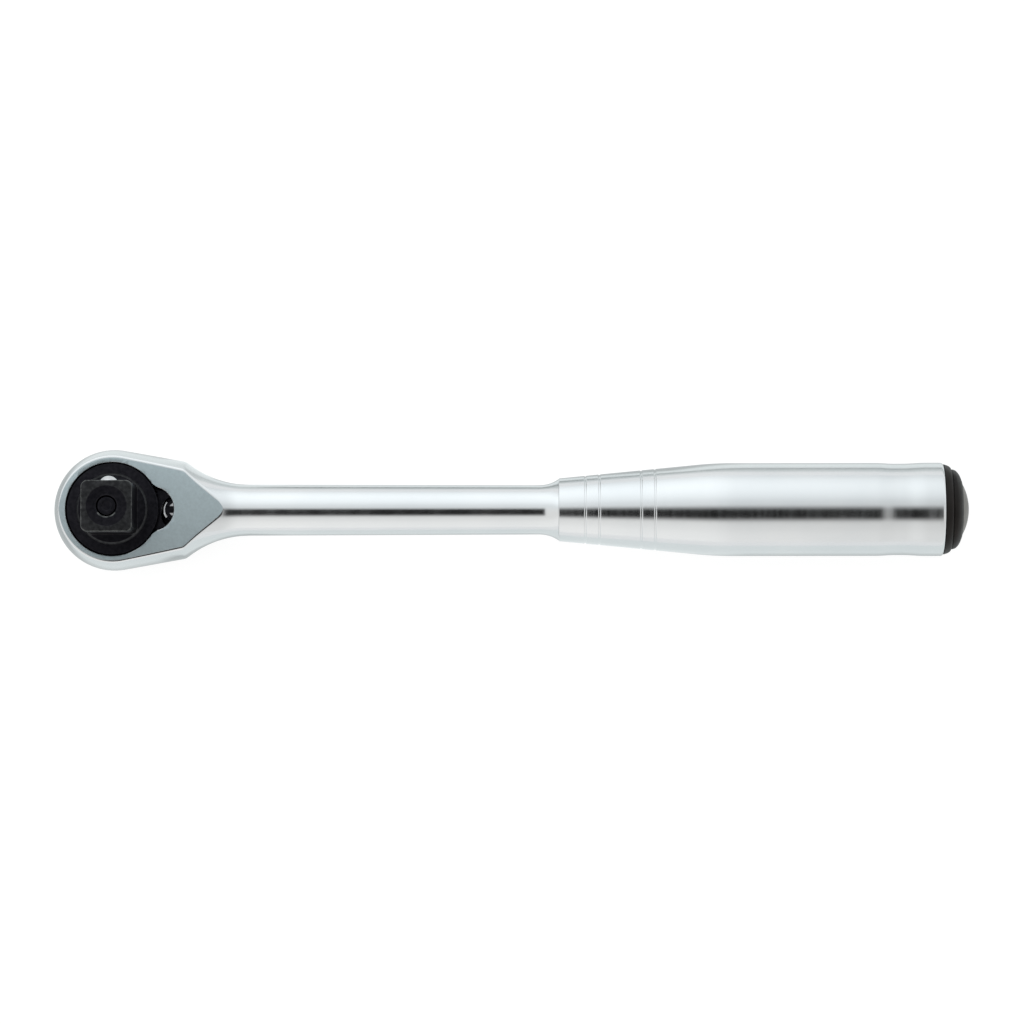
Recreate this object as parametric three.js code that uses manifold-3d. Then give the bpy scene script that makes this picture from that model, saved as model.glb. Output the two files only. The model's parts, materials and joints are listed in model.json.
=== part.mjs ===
// A 3/8 inch drive ratchet wrench: a forged head and shank, a tubular handle and a sealed reversible
// ratchet mechanism with a quick-release button. Millimetres, +Z towards the drive square.
//
// The pieces are drawn about the drive axis: x = 0 and y = 0 on that axis, z = 0 on the axis of the
// shank and handle, and +X towards the end of the handle. The whole group is then moved, so that the
// origin is at the bottom centre of the wrench as it lies on a table.
import * as THREE from "three";
import { mergeVertices } from "three/addons/utils/BufferGeometryUtils.js";
import Module from "manifold-3d";

const wasm = await Module();
wasm.setup();

// ---------------------------------------------------------------- driving dimensions

// The forging is a solid of revolution about X, cut by two flat faces.
const HEAD = { sphere: 11.38, coneSlope: 0.1798, creaseX: 13.42, flat: 5.4, flatsEndX: 40 };
const NECK = { filletRadius: 18.8, filletAngle: 40, endX: 25.5, radius: 4.8 };
const SHANK = { endRadius: 4.64, endX: 79.82 };
const FLARE = { radius: 7.3, angle: 33, faceX: 83.78 };
const TANG = { radius: 4.6, endX: 108, chamfer: 0.8 };

// Holes in the head, from the drive side and from the back.
const BORE = { radius: 8.8, floorZ: -2.8 };
const LOBE = { x: 7.37, radius: 4.18 };
const REAR_BORE = { radius: 5.6 };
const REAR_RECESS = { radius: 7.2, floorZ: -3.9 };
const LEVER_BORE = { x: 11.7, radius: 2.1, endZ: 1.85 };
const CLIP_UNDERCUT = { radius: 2.6, endZ: 3.0 };
const SEAL_POCKET = { radius: 3.05, floorZ: -4.6 };

// The handle sleeve, plug and badge, all turned about X.
const SLEEVE = {
  frontX: 83.83, frontRadius: 5.92, taperEndX: 109.5, taperEndRadius: 8.41,
  barrelX: 116.5, barrelRadius: 8.76, waistRadius: 8.61, lipRadius: 8.79, rimRadius: 8.52,
  waistStartX: 143.5, waistX: 146, waistEndX: 150, lipX: 151.2, lipEndX: 155.7, endX: 156.2,
  boreRadius: 4.66, boreEndX: 109, tubeRadius: 7.2, tubeStartX: 112.5,
};
const GROOVES = { centres: [88.8, 91.45, 99.3, 101.9], halfWidth: 0.2, depth: 0.2 };
const PLUG = {
  skirtRadius: 7.12, skirtX: 147, skirtWall: 1.3, flangeX: 156.25,
  outerRadius: 8.52, tierRadius: 7.75, tierX: 157.7, innerTierRadius: 7.55, endRadius: 5.3, endX: 159.7,
};
const BADGE = { radius: 5.05, backX: 158.8, edgeX: 159.7, apexX: 161.07, pocketRadius: 5.1, pocketX: 158.75 };

// The drive: gear, flange, boss and square in one piece, with a rear journal.
const SQUARE = { across: 9.53, cornerRadius: 1.0, tipZ: 16.7, tipBevel: 0.35 };
const BOSS = { radius: 6.7, topZ: 6.1, chamfer: 0.4 };
const FLANGE = { radius: 8.7, bottomZ: 4.1, topZ: 5.3, chamfer: 0.2 };
const GEAR = {
  teeth: 72, tipRadius: 8.2, rootRadius: 7.8, bottomZ: -2.6, topZ: 4.2, tipShare: 0.14, gapShare: 0.14,
};
const JOURNAL = {
  radius: 5.5, endZ: -5.4, chamfer: 0.25, grooveRadius: 5.1, grooveLowZ: -5.05, grooveHighZ: -4.55,
};
const ROD_BORE = { radius: 1.95, mouthRadius: 2.12, mouthDepth: 0.25 };
const BUTTON_BORE = { radius: 3.9, floorZ: -0.5, grooveRadius: 4.2, grooveLowZ: -5.1, grooveHighZ: -4.55 };

// The quick release: ball, rod, button, spring and ring.
const BALL = { radius: 1.985, y: 3.855, z: 11.9, seatRadius: 2.03, retraction: 1.069 };
const ROD = { radius: 1.82, lowZ: -5.55, tipZ: 16.35, tipChamfer: 0.25 };
const BUTTON = {
  radius: 3.4, lowZ: -7.35, chamfer: 0.35, dish: 0.2,
  shoulderRadius: 3.8, shoulderZ: -4.5, topZ: -3.85, socketRadius: 1.87, socketZ: -5.6, travel: 1.8,
};
const BUTTON_SPRING = { coilRadius: 2.75, wire: 0.22, lowZ: -3.55, highZ: -0.8, turns: 3 };

// Rings and washers: inner and outer radius, lowest z and thickness.
const SNAP_RING = { inner: 3.5, outer: 4.15, lowZ: -5.05, thick: 0.45, gap: 40, gapAt: 90 };
const CIRCLIP = { inner: 5.15, outer: 6.6, lowZ: -5.0, thick: 0.4, gap: 34, gapAt: -90 };
const THRUST_WASHER = { inner: 5.56, outer: 6.95, lowZ: -4.5, thick: 0.3 };
const WAVE_WASHER = { inner: 5.56, outer: 6.95, lowZ: -4.12, thick: 0.17 };
const LEVER_CLIP = { inner: 1.7, outer: 2.42, lowZ: 2.0, thick: 0.25, gap: 150, gapAt: 0 };
const O_RING = { midRadius: 2.62, wire: 0.36, z: -4.98 };

// The reversing mechanism. The lever's angle is counted from the wrench's axis.
const LEVER = {
  restAngle: 30, hubRadius: 4.4, tabRadius: 2.0, tabX: 5.8, lowZ: -8.87, highZ: -5.55, bevel: 0.35,
  holeRadius: 2.1, gripGrooves: [4.9, 5.8, 6.7], grooveWidth: 0.45, grooveDepth: 0.3,
};
const SHAFT = {
  radius: 2.05, lowZ: -8.7, headRadius: 2.7, headZ: -8.25, topZ: 2.75,
  grooveRadius: 1.65, grooveLowZ: 1.95, grooveHighZ: 2.3, slotWidth: 1.3, slotDepth: 0.35,
};
const PLUNGER = { radius: 0.8, tip: 2.5, tail: 0.9, z: 0.2, travel: 0.45, holeRadius: 0.86, holeDepth: 1.0 };
const PLUNGER_SPRING = { coilRadius: 0.5, wire: 0.13, turns: 4, gap: 0.05 };
const PAWL = {
  arcRadius: 4.1, lowZ: -2.6, highZ: 3.6, halfWidth: 3.7, rock: 7, rockStep: 1.75, trackRadius: 2.55,
  reliefRadius: 8.35, reliefHalfWidth: 1.7, cutTipRadius: 8.26, cutRootRadius: 7.86, cutTipShare: 0.22,
  cutGapShare: 0.06,
};

// How finely round shapes are divided.
const SIDES = { body: 36, bore: 36, ring: 22, small: 16, ball: 16, wire: 5 };

// The wrench lies on the reversing lever and, almost level with it, on the handle.
const TABLE_Z = LEVER.lowZ;
const MIDDLE_X = (BADGE.apexX - HEAD.sphere) / 2;
const PAST = 1; // how far a cutter runs past the face that it opens

// ---------------------------------------------------------------- tools for shapes

const radians = THREE.MathUtils.degToRad;
const degrees = THREE.MathUtils.radToDeg;

// A closed mesh as a solid, with its shared vertices merged.
function solidOf(geometry) {
  const bare = geometry.clone();
  bare.deleteAttribute("normal");
  bare.deleteAttribute("uv");
  const merged = mergeVertices(bare, 1e-4);
  return new wasm.Manifold(
    new wasm.Mesh({
      numProp: 3,
      vertProperties: merged.attributes.position.array,
      triVerts: new Uint32Array(merged.index.array),
    }),
  );
}

// A solid back as geometry for a mesh.
function geometryOf(solid) {
  const mesh = solid.getMesh();
  const geometry = new THREE.BufferGeometry();
  geometry.setAttribute("position", new THREE.BufferAttribute(mesh.vertProperties, 3));
  geometry.setIndex(new THREE.BufferAttribute(mesh.triVerts, 1));
  geometry.computeVertexNormals();
  return geometry;
}

// The points of a circular arc, from one angle to another in degrees, both ends included.
function arc(centreX, centreY, radius, fromAngle, toAngle, steps) {
  return Array.from({ length: steps + 1 }, (_, i) => {
    const angle = radians(fromAngle + ((toAngle - fromAngle) * i) / steps);
    return [centreX + radius * Math.cos(angle), centreY + radius * Math.sin(angle)];
  });
}

// Turned about Z from [radius, z] points that run up the outside.
function turnedAboutZ(outline, sides = SIDES.bore) {
  const points = outline.map(([radius, z]) => new THREE.Vector2(Math.max(radius, 0), z));
  return new THREE.LatheGeometry(points, sides).rotateX(Math.PI / 2);
}

// Turned about X from [x, radius] points that run along the outside towards +X.
function turnedAboutX(outline, sides = SIDES.body) {
  const points = outline.map(([x, radius]) => new THREE.Vector2(Math.max(radius, 0), x));
  return new THREE.LatheGeometry(points, sides).rotateZ(-Math.PI / 2);
}

// A plain round bar along Z, for bores and pins.
function bar(radius, lowZ, highZ, x = 0, sides = SIDES.bore) {
  const outline = [[0, lowZ], [radius, lowZ], [radius, highZ], [0, highZ]];
  return turnedAboutZ(outline, sides).translate(x, 0, 0);
}

// A box from its lowest to its highest corner.
function block(lowX, lowY, lowZ, highX, highY, highZ) {
  const box = new THREE.BoxGeometry(highX - lowX, highY - lowY, highZ - lowZ);
  return box.translate((lowX + highX) / 2, (lowY + highY) / 2, (lowZ + highZ) / 2);
}

// Turns geometry about a vertical line at x on the wrench's axis.
function turnedAt(geometry, x, angle) {
  return geometry.translate(-x, 0, 0).rotateZ(radians(angle)).translate(x, 0, 0);
}

// One solid with a list of geometries taken away.
function cut(solid, ...cutters) {
  return cutters.reduce((left, cutter) => left.subtract(solidOf(cutter)), solid);
}

// A flat washer, closed all round.
function washer({ inner, outer, lowZ, thick }) {
  const highZ = lowZ + thick;
  return turnedAboutZ([[inner, lowZ], [outer, lowZ], [outer, highZ], [inner, highZ], [inner, lowZ]]);
}

// An open retaining ring, with its gap centred on the angle gapAt.
function openRing({ inner, outer, lowZ, thick, gap, gapAt }) {
  const from = radians(gapAt + gap / 2);
  const to = radians(gapAt + 360 - gap / 2);
  const shape = new THREE.Shape();
  shape.absarc(0, 0, outer, from, to, false);
  shape.absarc(0, 0, inner, to, from, true);
  shape.closePath();
  const options = { depth: thick, bevelEnabled: false, curveSegments: SIDES.ring };
  return new THREE.ExtrudeGeometry(shape, options).translate(0, 0, lowZ);
}

// A spring's centre line, rising along Z from its low end to its high end.
class Helix extends THREE.Curve {
  constructor(radius, lowZ, highZ, turns) {
    super();
    Object.assign(this, { radius, lowZ, highZ, turns });
  }

  getPoint(t, target = new THREE.Vector3()) {
    const angle = 2 * Math.PI * this.turns * t;
    const z = this.lowZ + (this.highZ - this.lowZ) * t;
    return target.set(this.radius * Math.cos(angle), this.radius * Math.sin(angle), z);
  }
}

// A coil spring of round wire.
function coilSpring(coilRadius, wire, lowZ, highZ, turns) {
  const stepsPerTurn = 12;
  const corners = arc(0, 0, wire, 0, 360, SIDES.wire).slice(1);
  const section = new THREE.Shape(corners.map(([x, y]) => new THREE.Vector2(x, y)));
  const extrudePath = new Helix(coilRadius, lowZ, highZ, turns);
  const steps = turns * stepsPerTurn;
  return new THREE.ExtrudeGeometry(section, { steps, extrudePath, bevelEnabled: false });
}

// ---------------------------------------------------------------- the head, shank and handle

function headAndShank() {
  // A cone leaves the ball at the angle where their slopes agree.
  const coneStart = Math.atan(1 / HEAD.coneSlope);
  const coneRadius = (x) => (HEAD.sphere - x * Math.cos(coneStart)) / Math.sin(coneStart);
  const sphere = arc(0, 0, HEAD.sphere, 180, degrees(coneStart), 11);
  const crease = [HEAD.creaseX, coneRadius(HEAD.creaseX)];
  const filletCentre = NECK.radius + NECK.filletRadius;
  const fillet = arc(NECK.endX, filletCentre, NECK.filletRadius, 270 - NECK.filletAngle, 270, 6);
  const flareCentre = SHANK.endRadius + FLARE.radius;
  const flare = arc(SHANK.endX, flareCentre, FLARE.radius, 270, 270 + FLARE.angle, 4);
  const outline = [
    ...sphere,
    crease,
    ...fillet.slice(1),
    ...flare,
    [FLARE.faceX, TANG.radius],
    [TANG.endX - TANG.chamfer, TANG.radius],
    [TANG.endX, TANG.radius - TANG.chamfer],
    [TANG.endX, 0],
  ];
  const reach = HEAD.sphere + PAST;
  const blank = solidOf(turnedAboutX(outline));
  const open = HEAD.flat + PAST;
  const back = -HEAD.flat - PAST;
  return cut(
    blank,
    block(-reach, -reach, HEAD.flat, HEAD.flatsEndX, reach, reach),
    block(-reach, -reach, -reach, HEAD.flatsEndX, reach, -HEAD.flat),
    bar(BORE.radius, BORE.floorZ, open),
    bar(LOBE.radius, BORE.floorZ, open, LOBE.x),
    bar(REAR_BORE.radius, back, BORE.floorZ + PAST),
    bar(REAR_RECESS.radius, back, REAR_RECESS.floorZ),
    bar(LEVER_BORE.radius, back, LEVER_BORE.endZ + PAST / 2, LEVER_BORE.x, SIDES.small),
    bar(CLIP_UNDERCUT.radius, LEVER_BORE.endZ, CLIP_UNDERCUT.endZ, LEVER_BORE.x, SIDES.small),
    bar(SEAL_POCKET.radius, back, SEAL_POCKET.floorZ, LEVER_BORE.x, SIDES.small),
  );
}

function handleSleeve() {
  const s = SLEEVE;
  const slope = (s.taperEndRadius - s.frontRadius) / (s.taperEndX - s.frontX);
  const taper = (x) => s.frontRadius + slope * (x - s.frontX);
  const grooves = GROOVES.centres.flatMap((x) => [
    [x - GROOVES.halfWidth, taper(x - GROOVES.halfWidth)],
    [x, taper(x) - GROOVES.depth],
    [x + GROOVES.halfWidth, taper(x + GROOVES.halfWidth)],
  ]);
  // From the taper to the barrel the slope falls evenly to nothing.
  const blendLength = s.barrelX - s.taperEndX;
  const blend = [0, 0.25, 0.5, 0.75, 1].map((t) => [
    s.taperEndX + blendLength * t,
    s.taperEndRadius + (s.barrelRadius - s.taperEndRadius) * t * (2 - t),
  ]);
  const outline = [
    [s.frontX, s.boreRadius],
    [s.frontX, s.frontRadius],
    ...grooves,
    ...blend,
    [s.waistStartX, s.barrelRadius],
    [s.waistX, s.waistRadius],
    [s.waistEndX, s.waistRadius],
    [s.lipX, s.lipRadius],
    [s.lipEndX, s.lipRadius],
    [s.endX, s.rimRadius],
    [s.endX, s.tubeRadius],
    [s.tubeStartX, s.tubeRadius],
    [s.boreEndX, s.boreRadius],
    [s.frontX, s.boreRadius],
  ];
  return turnedAboutX(outline);
}

function endPlug() {
  const p = PLUG;
  const innerSkirt = p.skirtRadius - p.skirtWall;
  return turnedAboutX([
    [p.flangeX + 0.4, 0],
    [p.flangeX + 0.4, innerSkirt],
    [p.skirtX, innerSkirt],
    [p.skirtX, p.skirtRadius - 0.3],
    [p.skirtX + 1, p.skirtRadius],
    [p.flangeX, p.skirtRadius],
    [p.flangeX, p.outerRadius],
    [p.flangeX + 0.75, p.outerRadius - 0.3],
    [p.tierX - 0.25, p.tierRadius + 0.2],
    [p.tierX, p.tierRadius],
    [p.tierX, p.innerTierRadius],
    [p.tierX + 0.8, p.innerTierRadius - 0.15],
    [p.tierX + 1.5, p.innerTierRadius - 0.9],
    [p.endX, p.endRadius],
    [p.endX, BADGE.pocketRadius],
    [BADGE.pocketX, BADGE.pocketRadius],
    [BADGE.pocketX, 0],
  ]);
}

function capBadge() {
  const rise = BADGE.apexX - BADGE.edgeX;
  const domeRadius = (BADGE.radius ** 2 + rise ** 2) / (2 * rise);
  const halfAngle = degrees(Math.asin(BADGE.radius / domeRadius));
  const dome = arc(BADGE.apexX - domeRadius, 0, domeRadius, halfAngle, 0, 6);
  return turnedAboutX([[BADGE.backX, 0], [BADGE.backX, BADGE.radius], ...dome]);
}

// ---------------------------------------------------------------- the drive

// A ratchet wheel's outline: one tooth stands on the +X axis. The shares are halves of the flat tip
// and of the flat gap, as parts of a tooth's pitch.
function wheelShape(tipRadius, rootRadius, tipShare, gapShare) {
  const pitch = 360 / GEAR.teeth;
  const points = Array.from({ length: GEAR.teeth }, (_, tooth) => [
    [rootRadius, tooth - 0.5 + gapShare],
    [tipRadius, tooth - tipShare],
    [tipRadius, tooth + tipShare],
    [rootRadius, tooth + 0.5 - gapShare],
  ]).flat();
  return new THREE.Shape(
    points.map(([radius, place]) => {
      const angle = radians(place * pitch);
      return new THREE.Vector2(radius * Math.cos(angle), radius * Math.sin(angle));
    }),
  );
}

function raised(shape, lowZ, highZ) {
  return new THREE.ExtrudeGeometry(shape, { depth: highZ - lowZ, bevelEnabled: false }).translate(0, 0, lowZ);
}

// The square with rounded corners and a small bevel round its tip. Its foot is inside the boss.
function driveSquare() {
  const half = SQUARE.across / 2;
  const inner = half - SQUARE.cornerRadius;
  const shape = new THREE.Shape();
  const corners = [[inner, inner], [-inner, inner], [-inner, -inner], [inner, -inner]];
  corners.forEach(([x, y], quarter) => {
    shape.absarc(x, y, SQUARE.cornerRadius, (quarter * Math.PI) / 2, ((quarter + 1) * Math.PI) / 2, false);
  });
  shape.closePath();
  const footZ = FLANGE.topZ - SQUARE.tipBevel;
  const options = {
    depth: SQUARE.tipZ - footZ - 2 * SQUARE.tipBevel,
    bevelThickness: SQUARE.tipBevel,
    bevelSize: SQUARE.tipBevel,
    bevelOffset: -SQUARE.tipBevel,
    bevelSegments: 1,
    curveSegments: 5,
  };
  return new THREE.ExtrudeGeometry(shape, options).translate(0, 0, footZ + SQUARE.tipBevel);
}

function driveGear() {
  const core = turnedAboutZ([
    [0, JOURNAL.endZ],
    [JOURNAL.radius - JOURNAL.chamfer, JOURNAL.endZ],
    [JOURNAL.radius, JOURNAL.endZ + JOURNAL.chamfer],
    [JOURNAL.radius, JOURNAL.grooveLowZ],
    [JOURNAL.grooveRadius, JOURNAL.grooveLowZ],
    [JOURNAL.grooveRadius, JOURNAL.grooveHighZ],
    [JOURNAL.radius, JOURNAL.grooveHighZ],
    [JOURNAL.radius, GEAR.bottomZ],
    [GEAR.rootRadius - 0.2, GEAR.bottomZ],
    [GEAR.rootRadius - 0.2, FLANGE.bottomZ],
    [FLANGE.radius, FLANGE.bottomZ],
    [FLANGE.radius, FLANGE.topZ - FLANGE.chamfer],
    [FLANGE.radius - FLANGE.chamfer, FLANGE.topZ],
    [BOSS.radius, FLANGE.topZ],
    [BOSS.radius, BOSS.topZ - BOSS.chamfer],
    [BOSS.radius - BOSS.chamfer, BOSS.topZ],
    [0, BOSS.topZ],
  ]);
  const teeth = raised(
    wheelShape(GEAR.tipRadius, GEAR.rootRadius, GEAR.tipShare, GEAR.gapShare),
    GEAR.bottomZ,
    GEAR.topZ,
  );
  const rodMouth = turnedAboutZ(
    [
      [0, SQUARE.tipZ - ROD_BORE.mouthDepth],
      [ROD_BORE.radius, SQUARE.tipZ - ROD_BORE.mouthDepth],
      [ROD_BORE.mouthRadius, SQUARE.tipZ],
      [ROD_BORE.mouthRadius, SQUARE.tipZ + PAST],
      [0, SQUARE.tipZ + PAST],
    ],
    SIDES.small,
  );
  const ballBore = new THREE.CylinderGeometry(BALL.seatRadius, BALL.seatRadius, BALL.y, SIDES.ball);
  const ballSeat = new THREE.SphereGeometry(BALL.seatRadius, SIDES.ball, SIDES.ball / 2);
  const blank = solidOf(core).add(solidOf(teeth)).add(solidOf(driveSquare()));
  return cut(
    blank,
    bar(ROD_BORE.radius, JOURNAL.endZ, SQUARE.tipZ + PAST, 0, SIDES.small),
    rodMouth,
    bar(BUTTON_BORE.radius, JOURNAL.endZ - PAST, BUTTON_BORE.floorZ),
    bar(BUTTON_BORE.grooveRadius, BUTTON_BORE.grooveLowZ, BUTTON_BORE.grooveHighZ),
    ballBore.translate(0, BALL.y / 2, BALL.z),
    ballSeat.translate(0, BALL.y, BALL.z),
  );
}

function detentBall() {
  const sphere = new THREE.SphereGeometry(BALL.radius, SIDES.ball, SIDES.ball / 2);
  return sphere.translate(0, BALL.y, BALL.z);
}

// The rod has a notch on the ball's side. Its ramp lets the ball sink evenly as the button is pressed.
function releaseRod() {
  const rod = turnedAboutZ(
    [
      [0, ROD.lowZ],
      [ROD.radius, ROD.lowZ],
      [ROD.radius, ROD.tipZ - ROD.tipChamfer],
      [ROD.radius - ROD.tipChamfer, ROD.tipZ],
      [0, ROD.tipZ],
    ],
    SIDES.small,
  );
  const clearRadius = BALL.radius + 0.04;
  const rampAngle = degrees(Math.atan(BALL.retraction / BUTTON.travel));
  const sunkY = BALL.y - BALL.retraction;
  const sunkZ = BALL.z - BUTTON.travel;
  const rampNormal = -90 + rampAngle;
  const rampTop = [
    BALL.z + clearRadius * Math.cos(radians(rampNormal)),
    BALL.y + clearRadius * Math.sin(radians(rampNormal)),
  ];
  const floor = arc(sunkZ, sunkY, clearRadius, rampNormal, -180, 8);
  const outline = [rampTop, [rampTop[0], BALL.y], [sunkZ - clearRadius, BALL.y], ...floor.reverse()];
  // The notch is drawn as (z, y) and extruded across the rod.
  const shape = new THREE.Shape(outline.map(([z, y]) => new THREE.Vector2(z, y)));
  const notch = new THREE.ExtrudeGeometry(shape, { depth: 4 * ROD.radius, bevelEnabled: false });
  notch.translate(0, 0, -2 * ROD.radius).rotateY(-Math.PI / 2);
  return cut(solidOf(rod), notch);
}

function releaseButton() {
  const b = BUTTON;
  return turnedAboutZ([
    [0, b.lowZ + b.dish],
    [b.radius * 0.6, b.lowZ + b.dish * 0.5],
    [b.radius - b.chamfer, b.lowZ],
    [b.radius, b.lowZ + b.chamfer],
    [b.radius, b.shoulderZ],
    [b.shoulderRadius, b.shoulderZ],
    [b.shoulderRadius, b.topZ],
    [b.socketRadius, b.topZ],
    [b.socketRadius, b.socketZ],
    [0, b.socketZ],
  ]);
}

function buttonSpring() {
  const s = BUTTON_SPRING;
  return coilSpring(s.coilRadius, s.wire, s.lowZ, s.highZ, s.turns);
}

function leverORing() {
  const section = arc(O_RING.midRadius, O_RING.z, O_RING.wire, 0, 360, 8);
  return turnedAboutZ(section, SIDES.small).translate(LEVER_BORE.x, 0, 0);
}

// ---------------------------------------------------------------- the reversing mechanism

// A teardrop lever: a round hub and a narrower round thumb tab, joined by tangent sides.
function reversingLever() {
  const l = LEVER;
  const tangent = Math.acos((l.hubRadius - l.tabRadius) / l.tabX);
  const shape = new THREE.Shape();
  shape.absarc(0, 0, l.hubRadius, tangent, 2 * Math.PI - tangent, false);
  shape.absarc(l.tabX, 0, l.tabRadius, -tangent, tangent, false);
  shape.closePath();
  const options = {
    depth: l.highZ - l.lowZ - 2 * l.bevel,
    bevelThickness: l.bevel,
    bevelSize: l.bevel,
    bevelOffset: -l.bevel,
    bevelSegments: 1,
    curveSegments: 12,
  };
  const blank = new THREE.ExtrudeGeometry(shape, options).translate(0, 0, l.lowZ + l.bevel);
  const half = l.grooveWidth / 2;
  const gripGrooves = l.gripGrooves.map((x) =>
    block(x - half, -l.hubRadius, l.lowZ - PAST, x + half, l.hubRadius, l.lowZ + l.grooveDepth),
  );
  const lever = cut(
    solidOf(blank),
    bar(l.holeRadius, l.lowZ - PAST, l.highZ + PAST, 0, SIDES.small),
    bar(SHAFT.headRadius + 0.05, l.lowZ - PAST, SHAFT.headZ + 0.05, 0, SIDES.small),
    ...gripGrooves,
  );
  return geometryOf(lever).rotateZ(radians(l.restAngle)).translate(LEVER_BORE.x, 0, 0);
}

// The shaft turns with the lever. Its cross hole holds the plunger and spring.
function leverShaft() {
  const s = SHAFT;
  const shaft = turnedAboutZ(
    [
      [0, s.lowZ],
      [s.headRadius - 0.2, s.lowZ],
      [s.headRadius, s.lowZ + 0.2],
      [s.headRadius, s.headZ],
      [s.radius, s.headZ],
      [s.radius, s.grooveLowZ],
      [s.grooveRadius, s.grooveLowZ],
      [s.grooveRadius, s.grooveHighZ],
      [s.radius, s.grooveHighZ],
      [s.radius, s.topZ],
      [0, s.topZ],
    ],
    SIDES.small,
  );
  const slotHalf = s.slotWidth / 2;
  const slot = block(-s.headRadius, -slotHalf, s.topZ - s.slotDepth, s.headRadius, slotHalf, s.topZ + PAST);
  const holeLength = PLUNGER.holeDepth + s.radius + PAST;
  const hole = alongPlunger(
    bar(PLUNGER.holeRadius, -PLUNGER.holeDepth, holeLength - PLUNGER.holeDepth, 0, SIDES.small),
  );
  return geometryOf(cut(solidOf(shaft), slot, hole)).translate(LEVER_BORE.x, 0, 0);
}

// Lays a piece that was drawn along Z along the plunger's line, at the shaft's own axis.
function alongPlunger(geometry) {
  return geometry.rotateY(-Math.PI / 2).rotateZ(radians(LEVER.restAngle)).translate(0, 0, PLUNGER.z);
}

function pawlPlunger() {
  const p = PLUNGER;
  const plunger = turnedAboutZ(
    [
      [0, p.tail],
      [p.radius, p.tail],
      [p.radius, p.tip - 0.5],
      [p.radius * 0.8, p.tip - 0.2],
      [p.radius * 0.45, p.tip - 0.04],
      [0, p.tip],
    ],
    SIDES.small,
  );
  return alongPlunger(plunger).translate(LEVER_BORE.x, 0, 0);
}

function plungerSpring() {
  const s = PLUNGER_SPRING;
  const lowZ = -PLUNGER.holeDepth + s.wire + s.gap;
  const highZ = PLUNGER.tail - s.wire - s.gap;
  return alongPlunger(coilSpring(s.coilRadius, s.wire, lowZ, highZ, s.turns)).translate(LEVER_BORE.x, 0, 0);
}

// The pawl fills the lobe between the gear and the lever shaft, and rocks about the lobe's centre.
// It is drawn at mid rock. The gear and the shaft's track are cut from it at steps over its whole
// rock, so that it clears both wherever it stands, and its end teeth fit the gear at either end.
function pawl() {
  const p = PAWL;
  const disc = solidOf(bar(p.arcRadius, p.lowZ, p.highZ, LOBE.x));
  const width = block(0, -p.halfWidth, p.lowZ, 2 * LOBE.x, p.halfWidth, p.highZ);
  const wheel = wheelShape(p.cutTipRadius, p.cutRootRadius, p.cutTipShare, p.cutGapShare);
  const steps = Math.round((2 * p.rock) / p.rockStep);
  let left = disc.intersect(solidOf(width));
  for (let step = 0; step <= steps; step += 1) {
    const headTurn = p.rock - step * p.rockStep;
    const gearCut = raised(wheel, p.lowZ - PAST, p.highZ + PAST);
    const trackCut = bar(p.trackRadius, p.lowZ - PAST, p.highZ + PAST, LEVER_BORE.x);
    left = cut(left, turnedAt(gearCut, LOBE.x, headTurn), turnedAt(trackCut, LOBE.x, headTurn));
  }
  const relief = solidOf(bar(p.reliefRadius, p.lowZ - PAST, p.highZ + PAST)).intersect(
    solidOf(block(0, -p.reliefHalfWidth, p.lowZ - PAST, 2 * LOBE.x, p.reliefHalfWidth, p.highZ + PAST)),
  );
  return turnedAt(geometryOf(left.subtract(relief)), LOBE.x, -p.rock);
}

// ---------------------------------------------------------------- materials and the assembly

function finish(color, roughness, metalness) {
  return new THREE.MeshStandardMaterial({ color, roughness, metalness });
}

const satinChrome = () => finish(0xc9ced3, 0.3, 1.0);
const blackOxide = () => finish(0x17181a, 0.42, 0.75);
const brightSteel = () => finish(0xb8bcc0, 0.22, 1.0);
const blackPlastic = () => finish(0x1a1614, 0.4, 0.0);
const greyBadge = () => finish(0x6b6763, 0.35, 0.2);
const rubber = () => finish(0x101010, 0.8, 0.0);

const asGeometry = (shape) => (shape.isBufferGeometry ? shape : geometryOf(shape));

function piece(name, shape, material) {
  const mesh = new THREE.Mesh(asGeometry(shape), material);
  mesh.name = name;
  return mesh;
}

const group = new THREE.Group();
group.add(
  piece("head_and_shank", headAndShank(), satinChrome()),
  piece("handle_sleeve", handleSleeve(), satinChrome()),
  piece("end_plug", endPlug(), blackPlastic()),
  piece("cap_badge", capBadge(), greyBadge()),
  piece("drive_gear", driveGear(), blackOxide()),
  piece("wave_washer", washer(WAVE_WASHER), brightSteel()),
  piece("thrust_washer", washer(THRUST_WASHER), brightSteel()),
  piece("gear_circlip", openRing(CIRCLIP), blackOxide()),
  piece("detent_ball", detentBall(), brightSteel()),
  piece("release_rod", releaseRod(), blackOxide()),
  piece("release_button", releaseButton(), blackOxide()),
  piece("button_spring", buttonSpring(), brightSteel()),
  piece("button_snap_ring", openRing(SNAP_RING), brightSteel()),
  piece("pawl", pawl(), blackOxide()),
  piece("reversing_lever", reversingLever(), blackOxide()),
  piece("lever_shaft", leverShaft(), blackOxide()),
  piece("lever_clip", openRing(LEVER_CLIP).translate(LEVER_BORE.x, 0, 0), brightSteel()),
  piece("lever_o_ring", leverORing(), rubber()),
  piece("pawl_plunger", pawlPlunger(), brightSteel()),
  piece("plunger_spring", plungerSpring(), brightSteel()),
);
group.position.set(-MIDDLE_X, 0, -TABLE_Z);

export default group;
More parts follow.
